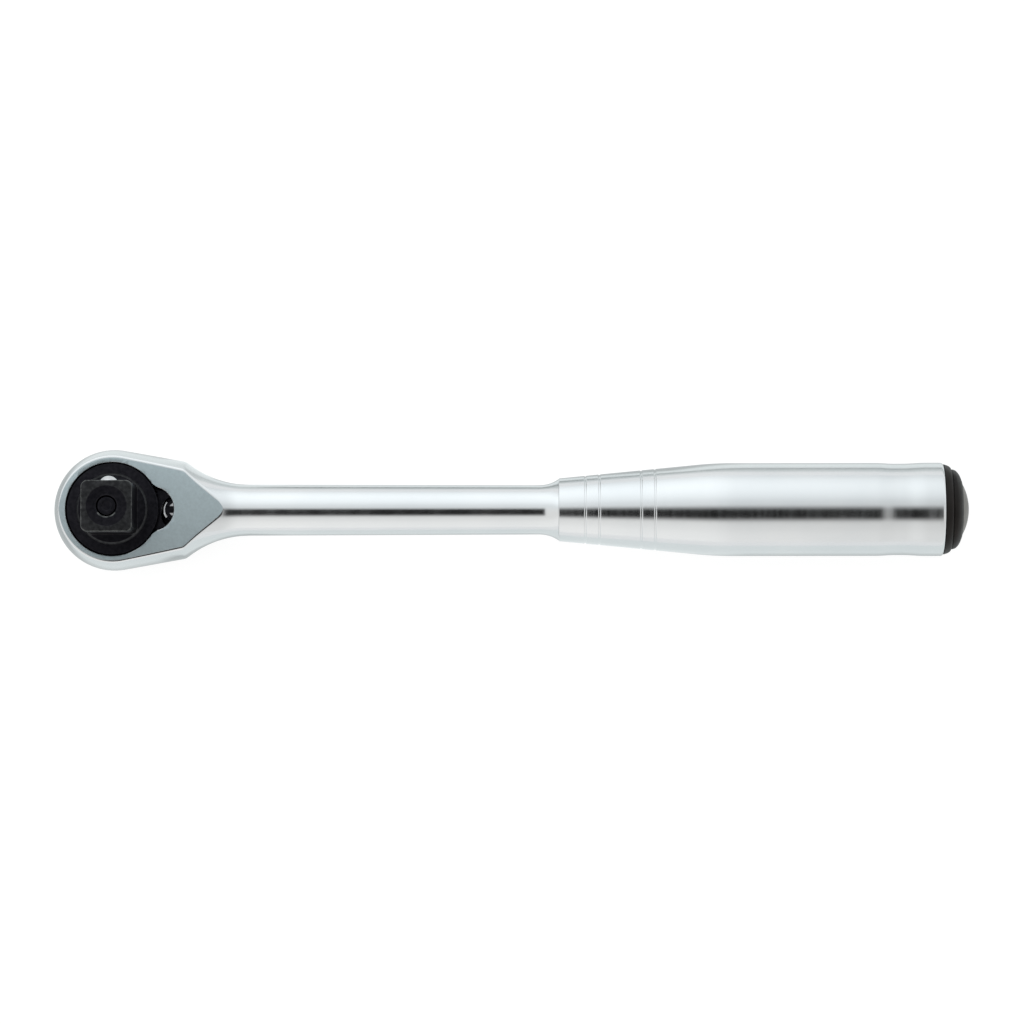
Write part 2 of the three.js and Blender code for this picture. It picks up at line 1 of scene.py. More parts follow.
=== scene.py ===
import json
from functools import cache, cached_property
from math import acos, asin, atan, atan2, cos, degrees, hypot, pi, radians, sin, sqrt, tan
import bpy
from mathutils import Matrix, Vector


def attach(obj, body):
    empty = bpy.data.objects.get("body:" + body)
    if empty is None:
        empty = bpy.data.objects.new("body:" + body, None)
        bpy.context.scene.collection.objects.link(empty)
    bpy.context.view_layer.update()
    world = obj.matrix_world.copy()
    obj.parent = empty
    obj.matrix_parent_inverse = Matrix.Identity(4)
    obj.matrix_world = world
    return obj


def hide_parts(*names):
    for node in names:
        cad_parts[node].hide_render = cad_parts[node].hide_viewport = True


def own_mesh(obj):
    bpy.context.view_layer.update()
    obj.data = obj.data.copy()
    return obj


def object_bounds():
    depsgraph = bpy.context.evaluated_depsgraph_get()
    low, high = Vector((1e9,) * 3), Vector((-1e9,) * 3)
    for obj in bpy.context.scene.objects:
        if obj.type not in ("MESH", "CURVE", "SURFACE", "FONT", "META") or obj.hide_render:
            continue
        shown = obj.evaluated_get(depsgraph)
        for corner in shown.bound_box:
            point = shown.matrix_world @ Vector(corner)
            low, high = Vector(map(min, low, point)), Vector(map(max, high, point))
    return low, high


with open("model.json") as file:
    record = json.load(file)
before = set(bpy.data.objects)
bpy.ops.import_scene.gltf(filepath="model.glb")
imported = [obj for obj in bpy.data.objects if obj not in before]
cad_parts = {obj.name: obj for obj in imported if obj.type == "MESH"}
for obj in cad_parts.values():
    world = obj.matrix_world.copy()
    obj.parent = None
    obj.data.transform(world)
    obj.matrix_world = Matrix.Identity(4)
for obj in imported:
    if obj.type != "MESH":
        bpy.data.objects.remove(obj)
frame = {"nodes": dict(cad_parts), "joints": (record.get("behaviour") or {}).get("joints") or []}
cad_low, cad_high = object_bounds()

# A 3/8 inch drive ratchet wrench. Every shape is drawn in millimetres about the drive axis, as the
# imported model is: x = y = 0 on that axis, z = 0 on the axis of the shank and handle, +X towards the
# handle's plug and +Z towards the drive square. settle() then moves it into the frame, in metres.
from types import SimpleNamespace as Numbers

import bmesh
import bpy
from mathutils import Matrix, Vector

MILLIMETRE = 0.001
JOINTS = {joint["name"]: joint for joint in frame["joints"]}
ORIGIN = Vector(JOINTS["drive_spin"]["pos_m"])


def local(point):
    """A point of the frame, in millimetres about the drive axis."""
    return (Vector(point) - ORIGIN) / MILLIMETRE


# ---- driving dimensions

LEVER_X = local(JOINTS["lever_flip"]["pos_m"]).x
LOBE_X = local(JOINTS["pawl_rock"]["pos_m"]).x

HEAD = Numbers(sphere=11.378, cone_slope=0.1798, crease_x=13.42, flat=5.4, flats_end=40)
NECK = Numbers(fillet=18.8, end_x=25.5, radius=4.8)
SHANK = Numbers(end_radius=4.64, end_x=79.82)
FLARE = Numbers(length=3.98, rise=1.178, power=2.4, face_x=83.8)
TANG = Numbers(radius=4.6, end_x=108, chamfer=0.8)
EDGE = Numbers(flat=0.36, crease=0.45, bore=0.12, lobe=5.0)

BORE = Numbers(radius=8.8, floor=-2.8)
LOBE_RADIUS = 4.18
REAR = Numbers(bore=5.6, recess=7.2, floor=-3.9)
LEVER_BORE = Numbers(
    radius=2.1, end=1.85, undercut=2.6, undercut_end=3.0, pocket=3.05, pocket_floor=-4.6,
)

SLEEVE = Numbers(
    front_x=83.83, front_radius=5.92, taper_x=109.5, taper_radius=8.41,
    barrel_x=116.5, barrel_radius=8.76, waist_radius=8.61, lip_radius=8.79, rim_radius=8.52,
    waist_start=143.5, waist_x=147, waist_end=148.5, lip_x=153, lip_end=155.7, end_x=156.2,
    bore=4.66, bore_end=109, tube=7.2, tube_start=112.5,
)
GROOVES = Numbers(centres=(88.8, 91.45, 99.3, 101.9), half_width=0.24, depth=0.11, wall=0.13)
PLUG = Numbers(
    skirt=7.12, skirt_x=147, wall=1.3, flange_x=156.25, outer=8.52, tier=7.75,
    tier_x=157.7, inner_tier=7.55, end=5.3, end_x=159.7,
)
BADGE = Numbers(radius=5.05, back_x=158.8, edge_x=159.7, apex_x=161.07, pocket=5.1, pocket_x=158.75)

SQUARE = Numbers(half=4.765, corner=1.2, tip=16.7, ease=0.25, disc=3.72, disc_depth=0.07)
BOSS = Numbers(radius=6.7, top=6.1, chamfer=0.45)
FLANGE = Numbers(radius=8.7, bottom=4.1, top=5.3, chamfer=0.2)
GEAR = Numbers(teeth=72, tip=8.2, root=7.8, bottom=-2.6)
JOURNAL = Numbers(radius=5.5, end=-5.4, groove=5.1, groove_low=-5.05, groove_high=-4.55)
ROD_BORE = Numbers(radius=1.95, mouth=2.2, depth=0.25)
BUTTON_BORE = Numbers(radius=3.9, floor=-0.5, groove=4.2, groove_low=-5.1, groove_high=-4.55)

BALL = Numbers(radius=1.985, y=3.855, z=11.9, seat=2.03, sinks=1.069)
ROD = Numbers(radius=1.82, low=-5.55, tip=16.35)
BUTTON = Numbers(
    radius=3.4, low=-7.35, shoulder=3.8, shoulder_z=-4.5, top=-3.85,
    socket=1.87, socket_z=-5.6, travel=1.8,
)
BUTTON_SPRING = Numbers(
    coil=2.75, wire=0.22, low=-3.55, high=-0.8, turns=3, flatter=0.12, slack=0.08,
)

SNAP_RING = Numbers(inner=3.5, outer=4.15, low=-5.05, thick=0.45, gap=40, gap_at=90)
CIRCLIP = Numbers(inner=5.15, outer=6.6, low=-5.0, thick=0.4, gap=34, gap_at=-90)
LEVER_CLIP = Numbers(inner=1.7, outer=2.42, low=2.0, thick=0.25, gap=150, gap_at=0, bright_half=39)
THRUST_WASHER = Numbers(inner=5.56, outer=6.95, low=-4.5, thick=0.3, wave=0, waves=0)
WAVE_WASHER = Numbers(inner=5.56, outer=6.95, low=-4.12, thick=0.17, wave=0.04, waves=3)
O_RING = Numbers(middle=2.62, wire=0.36, z=-4.98)

LEVER = Numbers(
    angle=30, hub=4.4, tab=2.0, tab_x=5.8, low=-8.87, high=-5.55,
    hole=2.1, counterbore=2.75, counterbore_z=-8.2, grips=(4.9, 5.8, 6.7), grip_radius=0.3,
)
SHAFT = Numbers(
    radius=2.05, low=-8.7, head=2.7, head_z=-8.25, top=2.75,
    groove=1.65, groove_low=1.95, groove_high=2.3, slot_width=1.3, slot_depth=0.35, bright=1.3,
)
PLUNGER = Numbers(radius=0.8, tip=2.5, tail=0.9, z=0.2, hole=0.86, hole_depth=1.0)
PLUNGER_SPRING = Numbers(coil=0.5, wire=0.13, turns=4, flatter=0, gap=0.05)
PAWL_EDGE = 0.06

# Which faces have another finish, some of them painted edge highlights. The table below has the
# slants that count as an edge, and distances from it.
LEVEL = 0.9995
NEAR = 0.01
LOBE_CORNERS = 1.5
RUB_AND_HIGHLIGHT = Numbers(
    steepest=0.15, flattest=0.97, end=0.3, disc_edge=0.1, edge=0.05, tip=0.02, mouth_side=-0.6,
)

# How finely round shapes are divided, the radius that counts as none, and a cutter's reach beyond.
SIDES = 192
FINE_SIDES = 96
COIL_STEPS = 40
ON_AXIS = 1e-6
PAST = 1.0
# The part of a side that easing a corner may take up, and where most of a noise lies.
MOST = 0.48
NOISE_LOW, NOISE_HIGH = 0.35, 0.65


# ---- outlines and rings

def spaced(first, last, steps):
    """Evenly spaced numbers, both ends included."""
    return [first + (last - first) * i / steps for i in range(steps + 1)]


def arc(centre_a, centre_b, radius, start, end, steps):
    """The points of a circular arc, angles in degrees."""
    angles = [radians(angle) for angle in spaced(start, end, steps)]
    return [(centre_a + radius * cos(a), centre_b + radius * sin(a)) for a in angles]


def eased_corner(before, corner, after, reach, steps):
    """The curve that rounds one corner, starting and ending at most reach away from it."""
    corner = Vector(corner)
    sides = [Vector(point) - corner for point in (before, after)]
    start, end = [corner + side.normalized() * min(reach, MOST * side.length) for side in sides]
    return [
        tuple(start * (1 - t) ** 2 + corner * 2 * t * (1 - t) + end * t * t)
        for t in spaced(0, 1, steps)
    ]


def eased(corners, steps=4):
    """An outline through (a, b) points, where (a, b, reach) rounds a corner."""
    points = []
    for i, (a, b, *reach) in enumerate(corners):
        if not reach:
            points.append((a, b))
            continue
        before = corners[i - 1][:2]
        after = corners[(i + 1) % len(corners)][:2]
        points.extend(eased_corner(before, (a, b), after, reach[0], steps))
    return points


def ring_about_z(radius, z, sides=SIDES, turn=0.0):
    angles = [turn + 2 * pi * i / sides for i in range(sides)]
    return [(radius * cos(a), radius * sin(a), z) for a in angles]


def turned(outline, sides=SIDES):
    """Rings about Z from (radius, z) points; a point on the axis becomes a pole."""
    return [
        ring_about_z(radius, z, sides) if radius > ON_AXIS else [(0, 0, z)] for radius, z in outline
    ]


def turned_about_x(outline, sides=SIDES):
    """Rings about X from (x, radius) points."""
    rings = turned([(radius, x) for x, radius in outline], sides)
    return [[(z, x, y) for x, y, z in ring] for ring in rings]


def moved(rings, x=0.0, y=0.0, z=0.0, turn=Matrix.Identity(3)):
    """Rings after a turn (a 3 by 3 matrix) and a shift."""
    shift = Vector((x, y, z))
    return [[tuple(turn @ Vector(point) + shift) for point in ring] for ring in rings]


def swept(path, section):
    """Rings of a section along a path of (point, side way, up way), with closed ends."""
    rings = [[tuple(point + side * a + up * b) for a, b in section] for point, side, up in path]
    return [[tuple(path[0][0])], *rings, [tuple(path[-1][0])]]


# ---- making and placing pieces

def in_scene(name, data):
    """A new object in the scene."""
    item = bpy.data.objects.new(name, data)
    bpy.context.scene.collection.objects.link(item)
    return item


def mesh_of(name, rings, closed=False):
    """An object whose mesh joins the rings in order, with its faces pointing out."""
    points = [point for ring in rings for point in ring]
    starts = [sum(len(ring) for ring in rings[:i]) for i in range(len(rings))]
    pairs = [(i, i + 1) for i in range(len(rings) - 1)]
    if closed:
        pairs.append((len(rings) - 1, 0))
    faces = []
    for a, b in pairs:
        sides = max(len(rings[a]), len(rings[b]))
        for i in range(sides):
            low = [starts[a] + k % len(rings[a]) for k in (i, i + 1)]
            high = [starts[b] + k % len(rings[b]) for k in (i + 1, i)]
            faces.append(list(dict.fromkeys(low + high)))
    mesh = bpy.data.meshes.new(name)
    mesh.from_pydata(points, [], faces)
    work = bmesh.new()
    work.from_mesh(mesh)
    bmesh.ops.recalc_face_normals(work, faces=work.faces)
    work.to_mesh(mesh)
    work.free()
    return in_scene(name, mesh)


def carve(piece, rings):
    """Cuts the shape of the rings out of a piece."""
    cutter = mesh_of("cutter", rings)
    cut = piece.modifiers.new("cut", "BOOLEAN")
    cut.operation = "DIFFERENCE"
    cut.solver = "EXACT"
    cut.object = cutter
    depsgraph = bpy.context.evaluated_depsgraph_get()
    carved = bpy.data.meshes.new_from_object(piece.evaluated_get(depsgraph))
    piece.modifiers.clear()
    whole, piece.data = piece.data, carved
    carved.name = piece.name
    bpy.data.meshes.remove(whole)
    bpy.data.meshes.remove(cutter.data)


def settle(piece, body, finish, sharp=35.0):
    """Moves a piece into the frame, smooths it, and fastens it to its body and material slot."""
    mesh = piece.data
    mesh.transform(Matrix.Translation(ORIGIN) @ Matrix.Scale(MILLIMETRE, 4))
    mesh.polygons.foreach_set("use_smooth", [True] * len(mesh.polygons))
    mesh.set_sharp_from_angle(angle=radians(sharp))
    mesh.materials.clear()
    mesh.materials.append(finish)
    weighted = piece.modifiers.new("flat faces stay flat", "WEIGHTED_NORMAL")
    weighted.keep_sharp = True
    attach(piece, body)


def finish_faces(piece, finishes, chosen):
    """Gives some faces other finishes: chosen(place, up) is 0 for the piece's own, else 1 or 2."""
    for finish in finishes:
        piece.data.materials.append(finish)
    for face in piece.data.polygons:
        face.material_index = int(chosen(local(face.center), face.normal.z))


def prism(outline, middle, low, high):
    """The rings of an (x, y) outline carried from one z to another, for cutting."""
    rings = [[(x, y, z) for x, y in outline] for z in (low, high)]
    return [[(*middle, low)], *rings, [(*middle, high)]]


# ---- the forging

def head_outline():
    """The forging's (x, radius) stations, close together where its flat faces begin and end."""
    sphere, flat = HEAD.sphere, HEAD.flat
    face_radius = sqrt(sphere**2 - flat**2)
    cone_angle = atan(1 / HEAD.cone_slope)
    cone_x = sphere * cos(cone_angle)

    def cone(x):
        return (sphere - x * cos(cone_angle)) / sin(cone_angle)

    pole_angles = spaced(0, asin(flat / sphere), 8)
    pole = [(-sphere * cos(a), sphere * sin(a)) for a in pole_angles]
    last_turn = acos(-cone_x / face_radius)
    ball_x = [-face_radius * cos(a) for a in spaced(0, last_turn, 34)[1:]]
    ball = [(x, sqrt(sphere**2 - x**2)) for x in ball_x]
    crease = HEAD.crease_x
    sides = [(x, cone(x)) for x in spaced(cone_x, crease - EDGE.crease, 10)[1:-1]]

    # The neck's hollow curve, from the crease down to the shank, spaced by the face's width.
    centre = NECK.radius + NECK.fillet

    def neck_x(radius):
        return NECK.end_x - sqrt(NECK.fillet ** 2 - (centre - radius) ** 2)

    crease_point = (crease, cone(crease))
    widest = sqrt(crease_point[1] ** 2 - flat**2)
    widths = spaced(widest, 0, 22)[2:]
    radii = [sqrt(flat**2 + width**2) for width in widths] + spaced(flat, NECK.radius, 7)[1:]
    neck = [(neck_x(radius), radius) for radius in radii]
    rounded_crease = eased_corner(sides[-1], crease_point, neck[0], EDGE.crease, 4)
    return pole, ball + sides + rounded_crease + neck


def shank_outline():
    """The (x, radius) stations from the neck's end to the end of the tang."""
    shank_x = spaced(NECK.end_x, SHANK.end_x, 14)[1:]
    fall = (NECK.radius - SHANK.end_radius) / (SHANK.end_x - NECK.end_x)
    shank = [(x, NECK.radius - fall * (x - NECK.end_x)) for x in shank_x]
    flare = [
        (SHANK.end_x + FLARE.length * t, SHANK.end_radius + FLARE.rise * t ** FLARE.power)
        for t in spaced(0, 1, 14)[1:]
    ]
    tang = [
        (FLARE.face_x + 0.02, TANG.radius),
        (TANG.end_x - TANG.chamfer, TANG.radius),
        (TANG.end_x, TANG.radius - TANG.chamfer),
    ]
    return shank + flare + tang


def forging_slice(x, radius):
    """One ring about X: a circle cut by the two flat faces, with the four edges eased."""
    flat_steps, edge_steps, side_steps = 6, 4, 24
    flat = HEAD.flat if x < HEAD.flats_end else 2 * radius
    corner = acos(flat / radius) if radius > flat else 0.0
    least = radians(1.5)

    def on_circle(angle):
        return radius * sin(angle), min(radius * cos(angle), flat)

    if corner < least:
        side_start = 1.6 * least
        quarter = [on_circle(angle) for angle in spaced(0, least, flat_steps)[:-1]]
        quarter += [on_circle(angle) for angle in spaced(least, side_start, edge_steps)[:-1]]
    else:
        half = radius * sin(corner)
        reach = min(EDGE.flat, 0.4 * half)
        side_start = corner + reach / radius
        side_point = (radius * sin(side_start), radius * cos(side_start))
        quarter = [(y, flat) for y in spaced(0, half - reach, flat_steps)[:-1]]
        quarter += eased_corner((0, flat), (half, flat), side_point, reach, edge_steps)[:-1]
    quarter += [on_circle(angle) for angle in spaced(side_start, pi / 2, side_steps)]
    right = quarter + [(y, -z) for y, z in quarter[-2::-1]]
    left = [(-y, z) for y, z in right[-2:0:-1]]
    return [(x, y, z) for y, z in right + left]


def bore_mouth(radius, face, way):
    """The last (radius, z) points of a bore where it opens on a face, way up (1) or down (-1)."""
    edge = EDGE.bore
    return [
        (radius, face - way * edge),
        (radius + 0.3 * edge, face - way * 0.3 * edge),
        (radius + edge, face + way * 0.001),
        (radius + edge, face + way * PAST),
        (0, face + way * PAST),
    ]


def lobe_corner(way):
    """The rings that ease the corner between the drive bore and the lobe, at +Y (1) or -Y (-1)."""
    ease = EDGE.lobe
    to_bore, to_lobe = BORE.radius + ease, LOBE_RADIUS + ease
    x = (LOBE_X**2 + to_bore**2 - to_lobe**2) / (2 * LOBE_X)
    y = sqrt(to_bore**2 - x**2)
    bore_angle = degrees(atan2(-y, -x))
    lobe_angle = degrees(atan2(-y, LOBE_X - x))
    curve = arc(x, y, ease, bore_angle, lobe_angle, 12)
    outline = [(a, way * b) for a, b in [*curve, (LOBE_X, 0)]]
    middle = (LOBE_X, way * 0.4 * y)
    return prism(outline, middle, BORE.floor, HEAD.flat + PAST)


def head_and_shank():
    pole, stations = head_outline()
    stations = pole[1:] + stations + shank_outline()
    rings = [forging_slice(x, radius) for x, radius in stations]
    rings = [[(pole[0][0], 0, 0)], *rings, [(stations[-1][0], 0, 0)]]
    piece = mesh_of("forged_head_and_shank", rings)
    flat = HEAD.flat
    drive_bore = [
        *reversed(bore_mouth(REAR.recess, -flat, -1)),
        (REAR.recess, REAR.floor),
        (REAR.bore, REAR.floor),
        (REAR.bore, BORE.floor),
        (BORE.radius, BORE.floor),
        *bore_mouth(BORE.radius, flat, 1),
    ]
    lobe = [(0, BORE.floor), (LOBE_RADIUS, BORE.floor), *bore_mouth(LOBE_RADIUS, flat, 1)]
    b = LEVER_BORE
    lever_bore = [
        *reversed(bore_mouth(b.pocket, -flat, -1)),
        (b.pocket, b.pocket_floor),
        (b.radius, b.pocket_floor),
        (b.radius, b.end),
        (b.undercut, b.end),
        (b.undercut, b.undercut_end),
        (0, b.undercut_end),
    ]
    carve(piece, turned(drive_bore))
    carve(piece, moved(turned(lobe), x=LOBE_X))
    for way in (1, -1):
        carve(piece, lobe_corner(way))
    carve(piece, moved(turned(lever_bore, FINE_SIDES), x=LEVER_X))
    settle(piece, "wrench_body", satin_chrome(), sharp=32)
    finish_faces(piece, (ground_face_with_painted_shade(), dark_pocket_steel()), forging_finish)
    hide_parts("head_and_shank")


def forging_finish(place, up):
    """Which of its finishes a face of the forging has: 0 plated, 1 ground, 2 dark in the pockets."""
    if abs(up) > LEVEL and abs(abs(place.z) - HEAD.flat) < NEAR:
        return 1
    deep = BORE.floor - NEAR < place.z < HEAD.flat - EDGE.bore
    in_bore = hypot(place.x, place.y) < BORE.radius + NEAR
    in_lobe = hypot(place.x - LOBE_X, place.y) < LOBE_RADIUS + LOBE_CORNERS
    return 2 if deep and (in_bore or in_lobe) else 0


# ---- the handle

def handle_sleeve():
    s = SLEEVE
    slope = (s.taper_radius - s.front_radius) / (s.taper_x - s.front_x)

    def taper(x):
        return s.front_radius + slope * (x - s.front_x)

    grooves = []
    half = GROOVES.half_width
    floor = half - GROOVES.wall
    for x in GROOVES.centres:
        bottom = taper(x) - GROOVES.depth
        grooves += [(x - half, taper(x - half), 0.04), (x - floor, bottom, 0.04)]
        grooves += [(x + floor, bottom, 0.04), (x + half, taper(x + half), 0.04)]
    swell = [
        (s.taper_x + (s.barrel_x - s.taper_x) * t,
         s.taper_radius + (s.barrel_radius - s.taper_radius) * t * (2 - t))
        for t in spaced(0, 1, 12)
    ]

    def wave(x_from, r_from, x_to, r_to):
        """A gentle step from one radius to another."""
        return [
            (x_from + (x_to - x_from) * t, r_from + (r_to - r_from) * (1 - cos(pi * t)) / 2)
            for t in spaced(0, 1, 8)
        ]

    outline = eased([
        (s.front_x, s.bore, 0.1),
        (s.front_x, s.front_radius, 0.1),
        *grooves,
        *swell,
        *wave(s.waist_start, s.barrel_radius, s.waist_x, s.waist_radius),
        *wave(s.waist_end, s.waist_radius, s.lip_x, s.lip_radius),
        (s.lip_end + 0.1, s.lip_radius, 0.2),
        (s.end_x - 0.08, s.rim_radius + 0.08, 0.15),
        (s.end_x, s.rim_radius - 0.25, 0.1),
        (s.end_x, s.tube, 0.1),
        (s.tube_start, s.tube),
        (s.bore_end, s.bore),
    ])
    piece = mesh_of("handle_tube", turned_about_x(outline), closed=True)
    settle(piece, "wrench_body", turned_chrome())
    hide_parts("handle_sleeve")


def end_plug():
    p = PLUG
    inside = p.skirt - p.wall
    web_x = p.flange_x + 0.4
    outline = eased([
        (web_x, 0),
        (web_x, inside, 0.2),
        (p.skirt_x, inside, 0.1),
        (p.skirt_x, p.skirt - 0.3, 0.1),
        (p.skirt_x + 1, p.skirt, 0.1),
        (p.flange_x, p.skirt, 0.04),
        (p.flange_x, p.outer, 0.12),
        (p.flange_x + 0.75, p.outer - 0.22, 0.4),
        (p.tier_x - 0.2, p.tier + 0.25, 0.3),
        (p.tier_x - 0.02, p.tier - 0.1, 0.1),
        (p.tier_x + 0.02, p.inner_tier - 0.12, 0.08),
        (p.tier_x + 0.2, p.inner_tier, 0.12),
        (p.tier_x + 0.8, p.inner_tier - 0.15, 0.4),
        (p.tier_x + 1.5, p.inner_tier - 0.9, 0.5),
        (p.end_x, p.end + 0.05, 0.12),
        (p.end_x, BADGE.pocket, 0.03),
        (BADGE.pocket_x, BADGE.pocket, 0.1),
        (BADGE.pocket_x, 0),
    ])
    piece = mesh_of("plug_moulding", turned_about_x(outline))
    settle(piece, "wrench_body", black_plastic(), sharp=50)
    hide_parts("end_plug")


def cap_badge():
    b = BADGE
    rise = b.apex_x - b.edge_x
    dome = (b.radius ** 2 + rise**2) / (2 * rise)
    half_angle = degrees(asin(b.radius / dome))
    crown = arc(b.apex_x - dome, 0, dome, half_angle, 0, 24)
    edge = (b.edge_x, b.radius)
    rounded_edge = eased_corner((b.back_x, b.radius), edge, crown[2], 0.15, 4)
    outline = [(b.back_x, 0), (b.back_x, b.radius - 0.1), (b.back_x + 0.1, b.radius)]
    piece = mesh_of("badge_dome", turned_about_x([*outline, *rounded_edge, *crown[2:]]))
    settle(piece, "wrench_body", badge_grey())
    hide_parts("cap_badge")


# ---- the drive

TOOTH_POINTS = 4
DRIVE_SIDES = GEAR.teeth * TOOTH_POINTS
HALF_TOOTH = pi / GEAR.teeth


def drive_circle(radius, z):
    return ring_about_z(radius, z, DRIVE_SIDES, -0.75 * HALF_TOOTH)


def drive_square(half, corner, z):
    """A ring of the square with rounded corners, at the drive's own angles."""
    centre = half - corner
    ring = []
    for x, y, _ in drive_circle(1.0, z):
        high, low = max(abs(x), abs(y)), min(abs(x), abs(y))
        reach = half / high
        if low * reach > centre:
            total = centre * (high + low)
            reach = total + sqrt(total**2 - 2 * centre**2 + corner**2)
        ring.append((x * reach, y * reach, z))
    return ring


def drive_teeth(shrink, z):
    """A ring of the ratchet wheel, whose teeth have flat tips and flat gaps between them."""
    corners = ((-0.36, GEAR.root), (-0.14, GEAR.tip), (0.14, GEAR.tip), (0.36, GEAR.root))
    ring = []
    for tooth in range(GEAR.teeth):
        for share, size in corners:
            angle, radius = 2 * HALF_TOOTH * (tooth + share), size - shrink
            ring.append((radius * cos(angle), radius * sin(angle), z))
    return ring


def drive_gear():
    half, corner, tip, ease = SQUARE.half, SQUARE.corner, SQUARE.tip, SQUARE.ease
    boss, flange, j, b = BOSS, FLANGE, JOURNAL, BUTTON_BORE
    disc_z = tip - SQUARE.disc_depth
    end_face = eased([
        (ROD_BORE.radius, tip - ROD_BORE.depth),
        (ROD_BORE.mouth, disc_z, 0.04),
        (SQUARE.disc, disc_z, 0.04),
        (SQUARE.disc + 0.08, tip, 0.04),
    ])
    tip_edge = arc(half - ease, tip - ease, ease, 90, 0, 6)
    foot = eased([(half, tip - 1), (half, boss.top, 0.06), (half + 0.12, boss.top)], steps=2)[1:-1]
    square_rings = [drive_square(a, max(corner - (half - a), 0.2), z) for a, z in tip_edge + foot]
    shoulder = eased([
        (boss.radius - boss.chamfer, boss.top, 0.1),
        (boss.radius, boss.top - boss.chamfer, 0.1),
        (boss.radius, flange.top, 0.1),
        (flange.radius - flange.chamfer, flange.top, 0.08),
        (flange.radius, flange.top - flange.chamfer, 0.08),
        (flange.radius, flange.bottom, 0.05),
        (GEAR.tip + 0.1, flange.bottom),
    ])
    bottom = GEAR.bottom
    tooth_rings = ((0.0, flange.bottom), (0.0, bottom + 0.15), (0.12, bottom))
    underside = eased([
        (GEAR.root - 0.3, bottom),
        (j.radius, bottom, 0.1),
        (j.radius, j.groove_high, 0.04),
        (j.groove, j.groove_high, 0.04),
        (j.groove, j.groove_low, 0.04),
        (j.radius, j.groove_low, 0.04),
        (j.radius, j.end + 0.2, 0.08),
        (j.radius - 0.2, j.end, 0.08),
        (b.radius + 0.12, j.end, 0.05),
        (b.radius, j.end + 0.12, 0.05),
        (b.radius, b.groove_low),
        (b.groove, b.groove_low, 0.04),
        (b.groove, b.groove_high, 0.04),
        (b.radius, b.groove_high, 0.04),
        (b.radius, b.floor, 0.2),
        (ROD_BORE.radius, b.floor, 0.1),
    ])
    rings = [drive_circle(*point) for point in end_face] + square_rings
    rings += [drive_circle(*point) for point in shoulder]
    rings += [drive_teeth(*tooth_ring) for tooth_ring in tooth_rings]
    rings += [drive_circle(*point) for point in underside]
    piece = mesh_of("square_drive", rings, closed=True)
    seat = [(0, 0), (BALL.seat, 0), *arc(0, BALL.y, BALL.seat, 0, 90, 16)]
    upright_to_y = Matrix.Rotation(radians(-90), 3, "X")
    carve(piece, moved(turned(seat, FINE_SIDES), z=BALL.z, turn=upright_to_y))
    settle(piece, "drive", black_oxide())
    finish_faces(piece, (edge_highlight_oxide(), rubbed_oxide_and_highlight()), drive_rub_and_highlights)
    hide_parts("drive_gear")


def drive_rub_and_highlights(place, up):
    """Which of the drive's finishes a face has: 0 as made, 1 a painted edge highlight on the square's
    edges and the lit side of the rod hole's mouth, 2 rubbed on the end's corners and a painted edge
    highlight on the boss's chamfer.
    """
    w = RUB_AND_HIGHLIGHT
    radius = hypot(place.x, place.y)
    slanted = w.steepest < up < w.flattest
    if place.z > SQUARE.tip - w.end and radius < SQUARE.disc + w.disc_edge:
        # Only the -Y side of the rod hole's mouth gets the lighter finish: a painted highlight where
        # the light falls.
        in_mouth = slanted and radius < ROD_BORE.mouth + w.edge
        return 1 if in_mouth and place.y < w.mouth_side * radius else 0
    if place.z > SQUARE.tip - w.tip:
        return 2
    # The square's edges get the lighter oxide as a painted edge highlight.
    if slanted and place.z > BOSS.top + w.edge:
        return 1
    # The boss's chamfer gets the lighter oxide as a painted edge highlight.
    if slanted and place.z > FLANGE.top + w.edge:
        return 2
    return 0


def detent_ball():
    outline = arc(0, 0, BALL.radius, -90, 90, 48)
    piece = mesh_of("bearing_ball", moved(turned(outline, FINE_SIDES), y=BALL.y, z=BALL.z))
    settle(piece, "ball", bright_steel())
    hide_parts("detent_ball")


def release_rod():
    """The rod and its ramped notch, into which the ball sinks evenly as the rod moves."""
    low, tip, radius = ROD.low, ROD.tip, ROD.radius
    outline = eased([
        (0, low), (radius, low, 0.1), (radius, tip - 0.22, 0.12), (radius - 0.22, tip, 0.1),
        (0.95, tip, 0.05), (0.85, tip - 0.04, 0.04), (0, tip - 0.04),
    ])
    piece = mesh_of("ball_rod", turned(outline, FINE_SIDES))
    clear = BALL.radius + 0.04
    ramp = degrees(atan(BALL.sinks / BUTTON.travel)) - 90
    sunk_y, sunk_z = BALL.y - BALL.sinks, BALL.z - BUTTON.travel
    ramp_z = BALL.z + clear * cos(radians(ramp))
    ramp_y = BALL.y + clear * sin(radians(ramp))
    floor = arc(sunk_z, sunk_y, clear, -180, ramp, 24)
    notch = [(ramp_z, ramp_y), (ramp_z, BALL.y), (sunk_z - clear, BALL.y), *floor]
    rings = prism(notch, (sunk_z, BALL.y - 0.5), -2 * radius, 2 * radius)
    carve(piece, [[(x, y, z) for z, y, x in ring] for ring in rings])
    settle(piece, "release", black_oxide())
    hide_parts("release_rod")


def release_button():
    b = BUTTON
    low, radius = b.low, b.radius
    outline = eased([
        (0, low + 0.24), (1.0, low + 0.22), (1.9, low + 0.14), (2.5, low + 0.03, 0.15),
        (radius - 0.3, low, 0.15), (radius, low + 0.3, 0.15),
        (radius, low + 0.95, 0.05), (radius - 0.1, low + 1.05, 0.05), (radius, low + 1.15, 0.05),
        (radius, b.shoulder_z, 0.1), (b.shoulder, b.shoulder_z, 0.08),
        (b.shoulder, b.top, 0.08), (b.socket, b.top, 0.08), (b.socket, b.socket_z),
        (0, b.socket_z),
    ])
    piece = mesh_of("push_button", turned(outline))
    settle(piece, "release", black_oxide())
    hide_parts("release_button")


# ---- rings, washers and springs

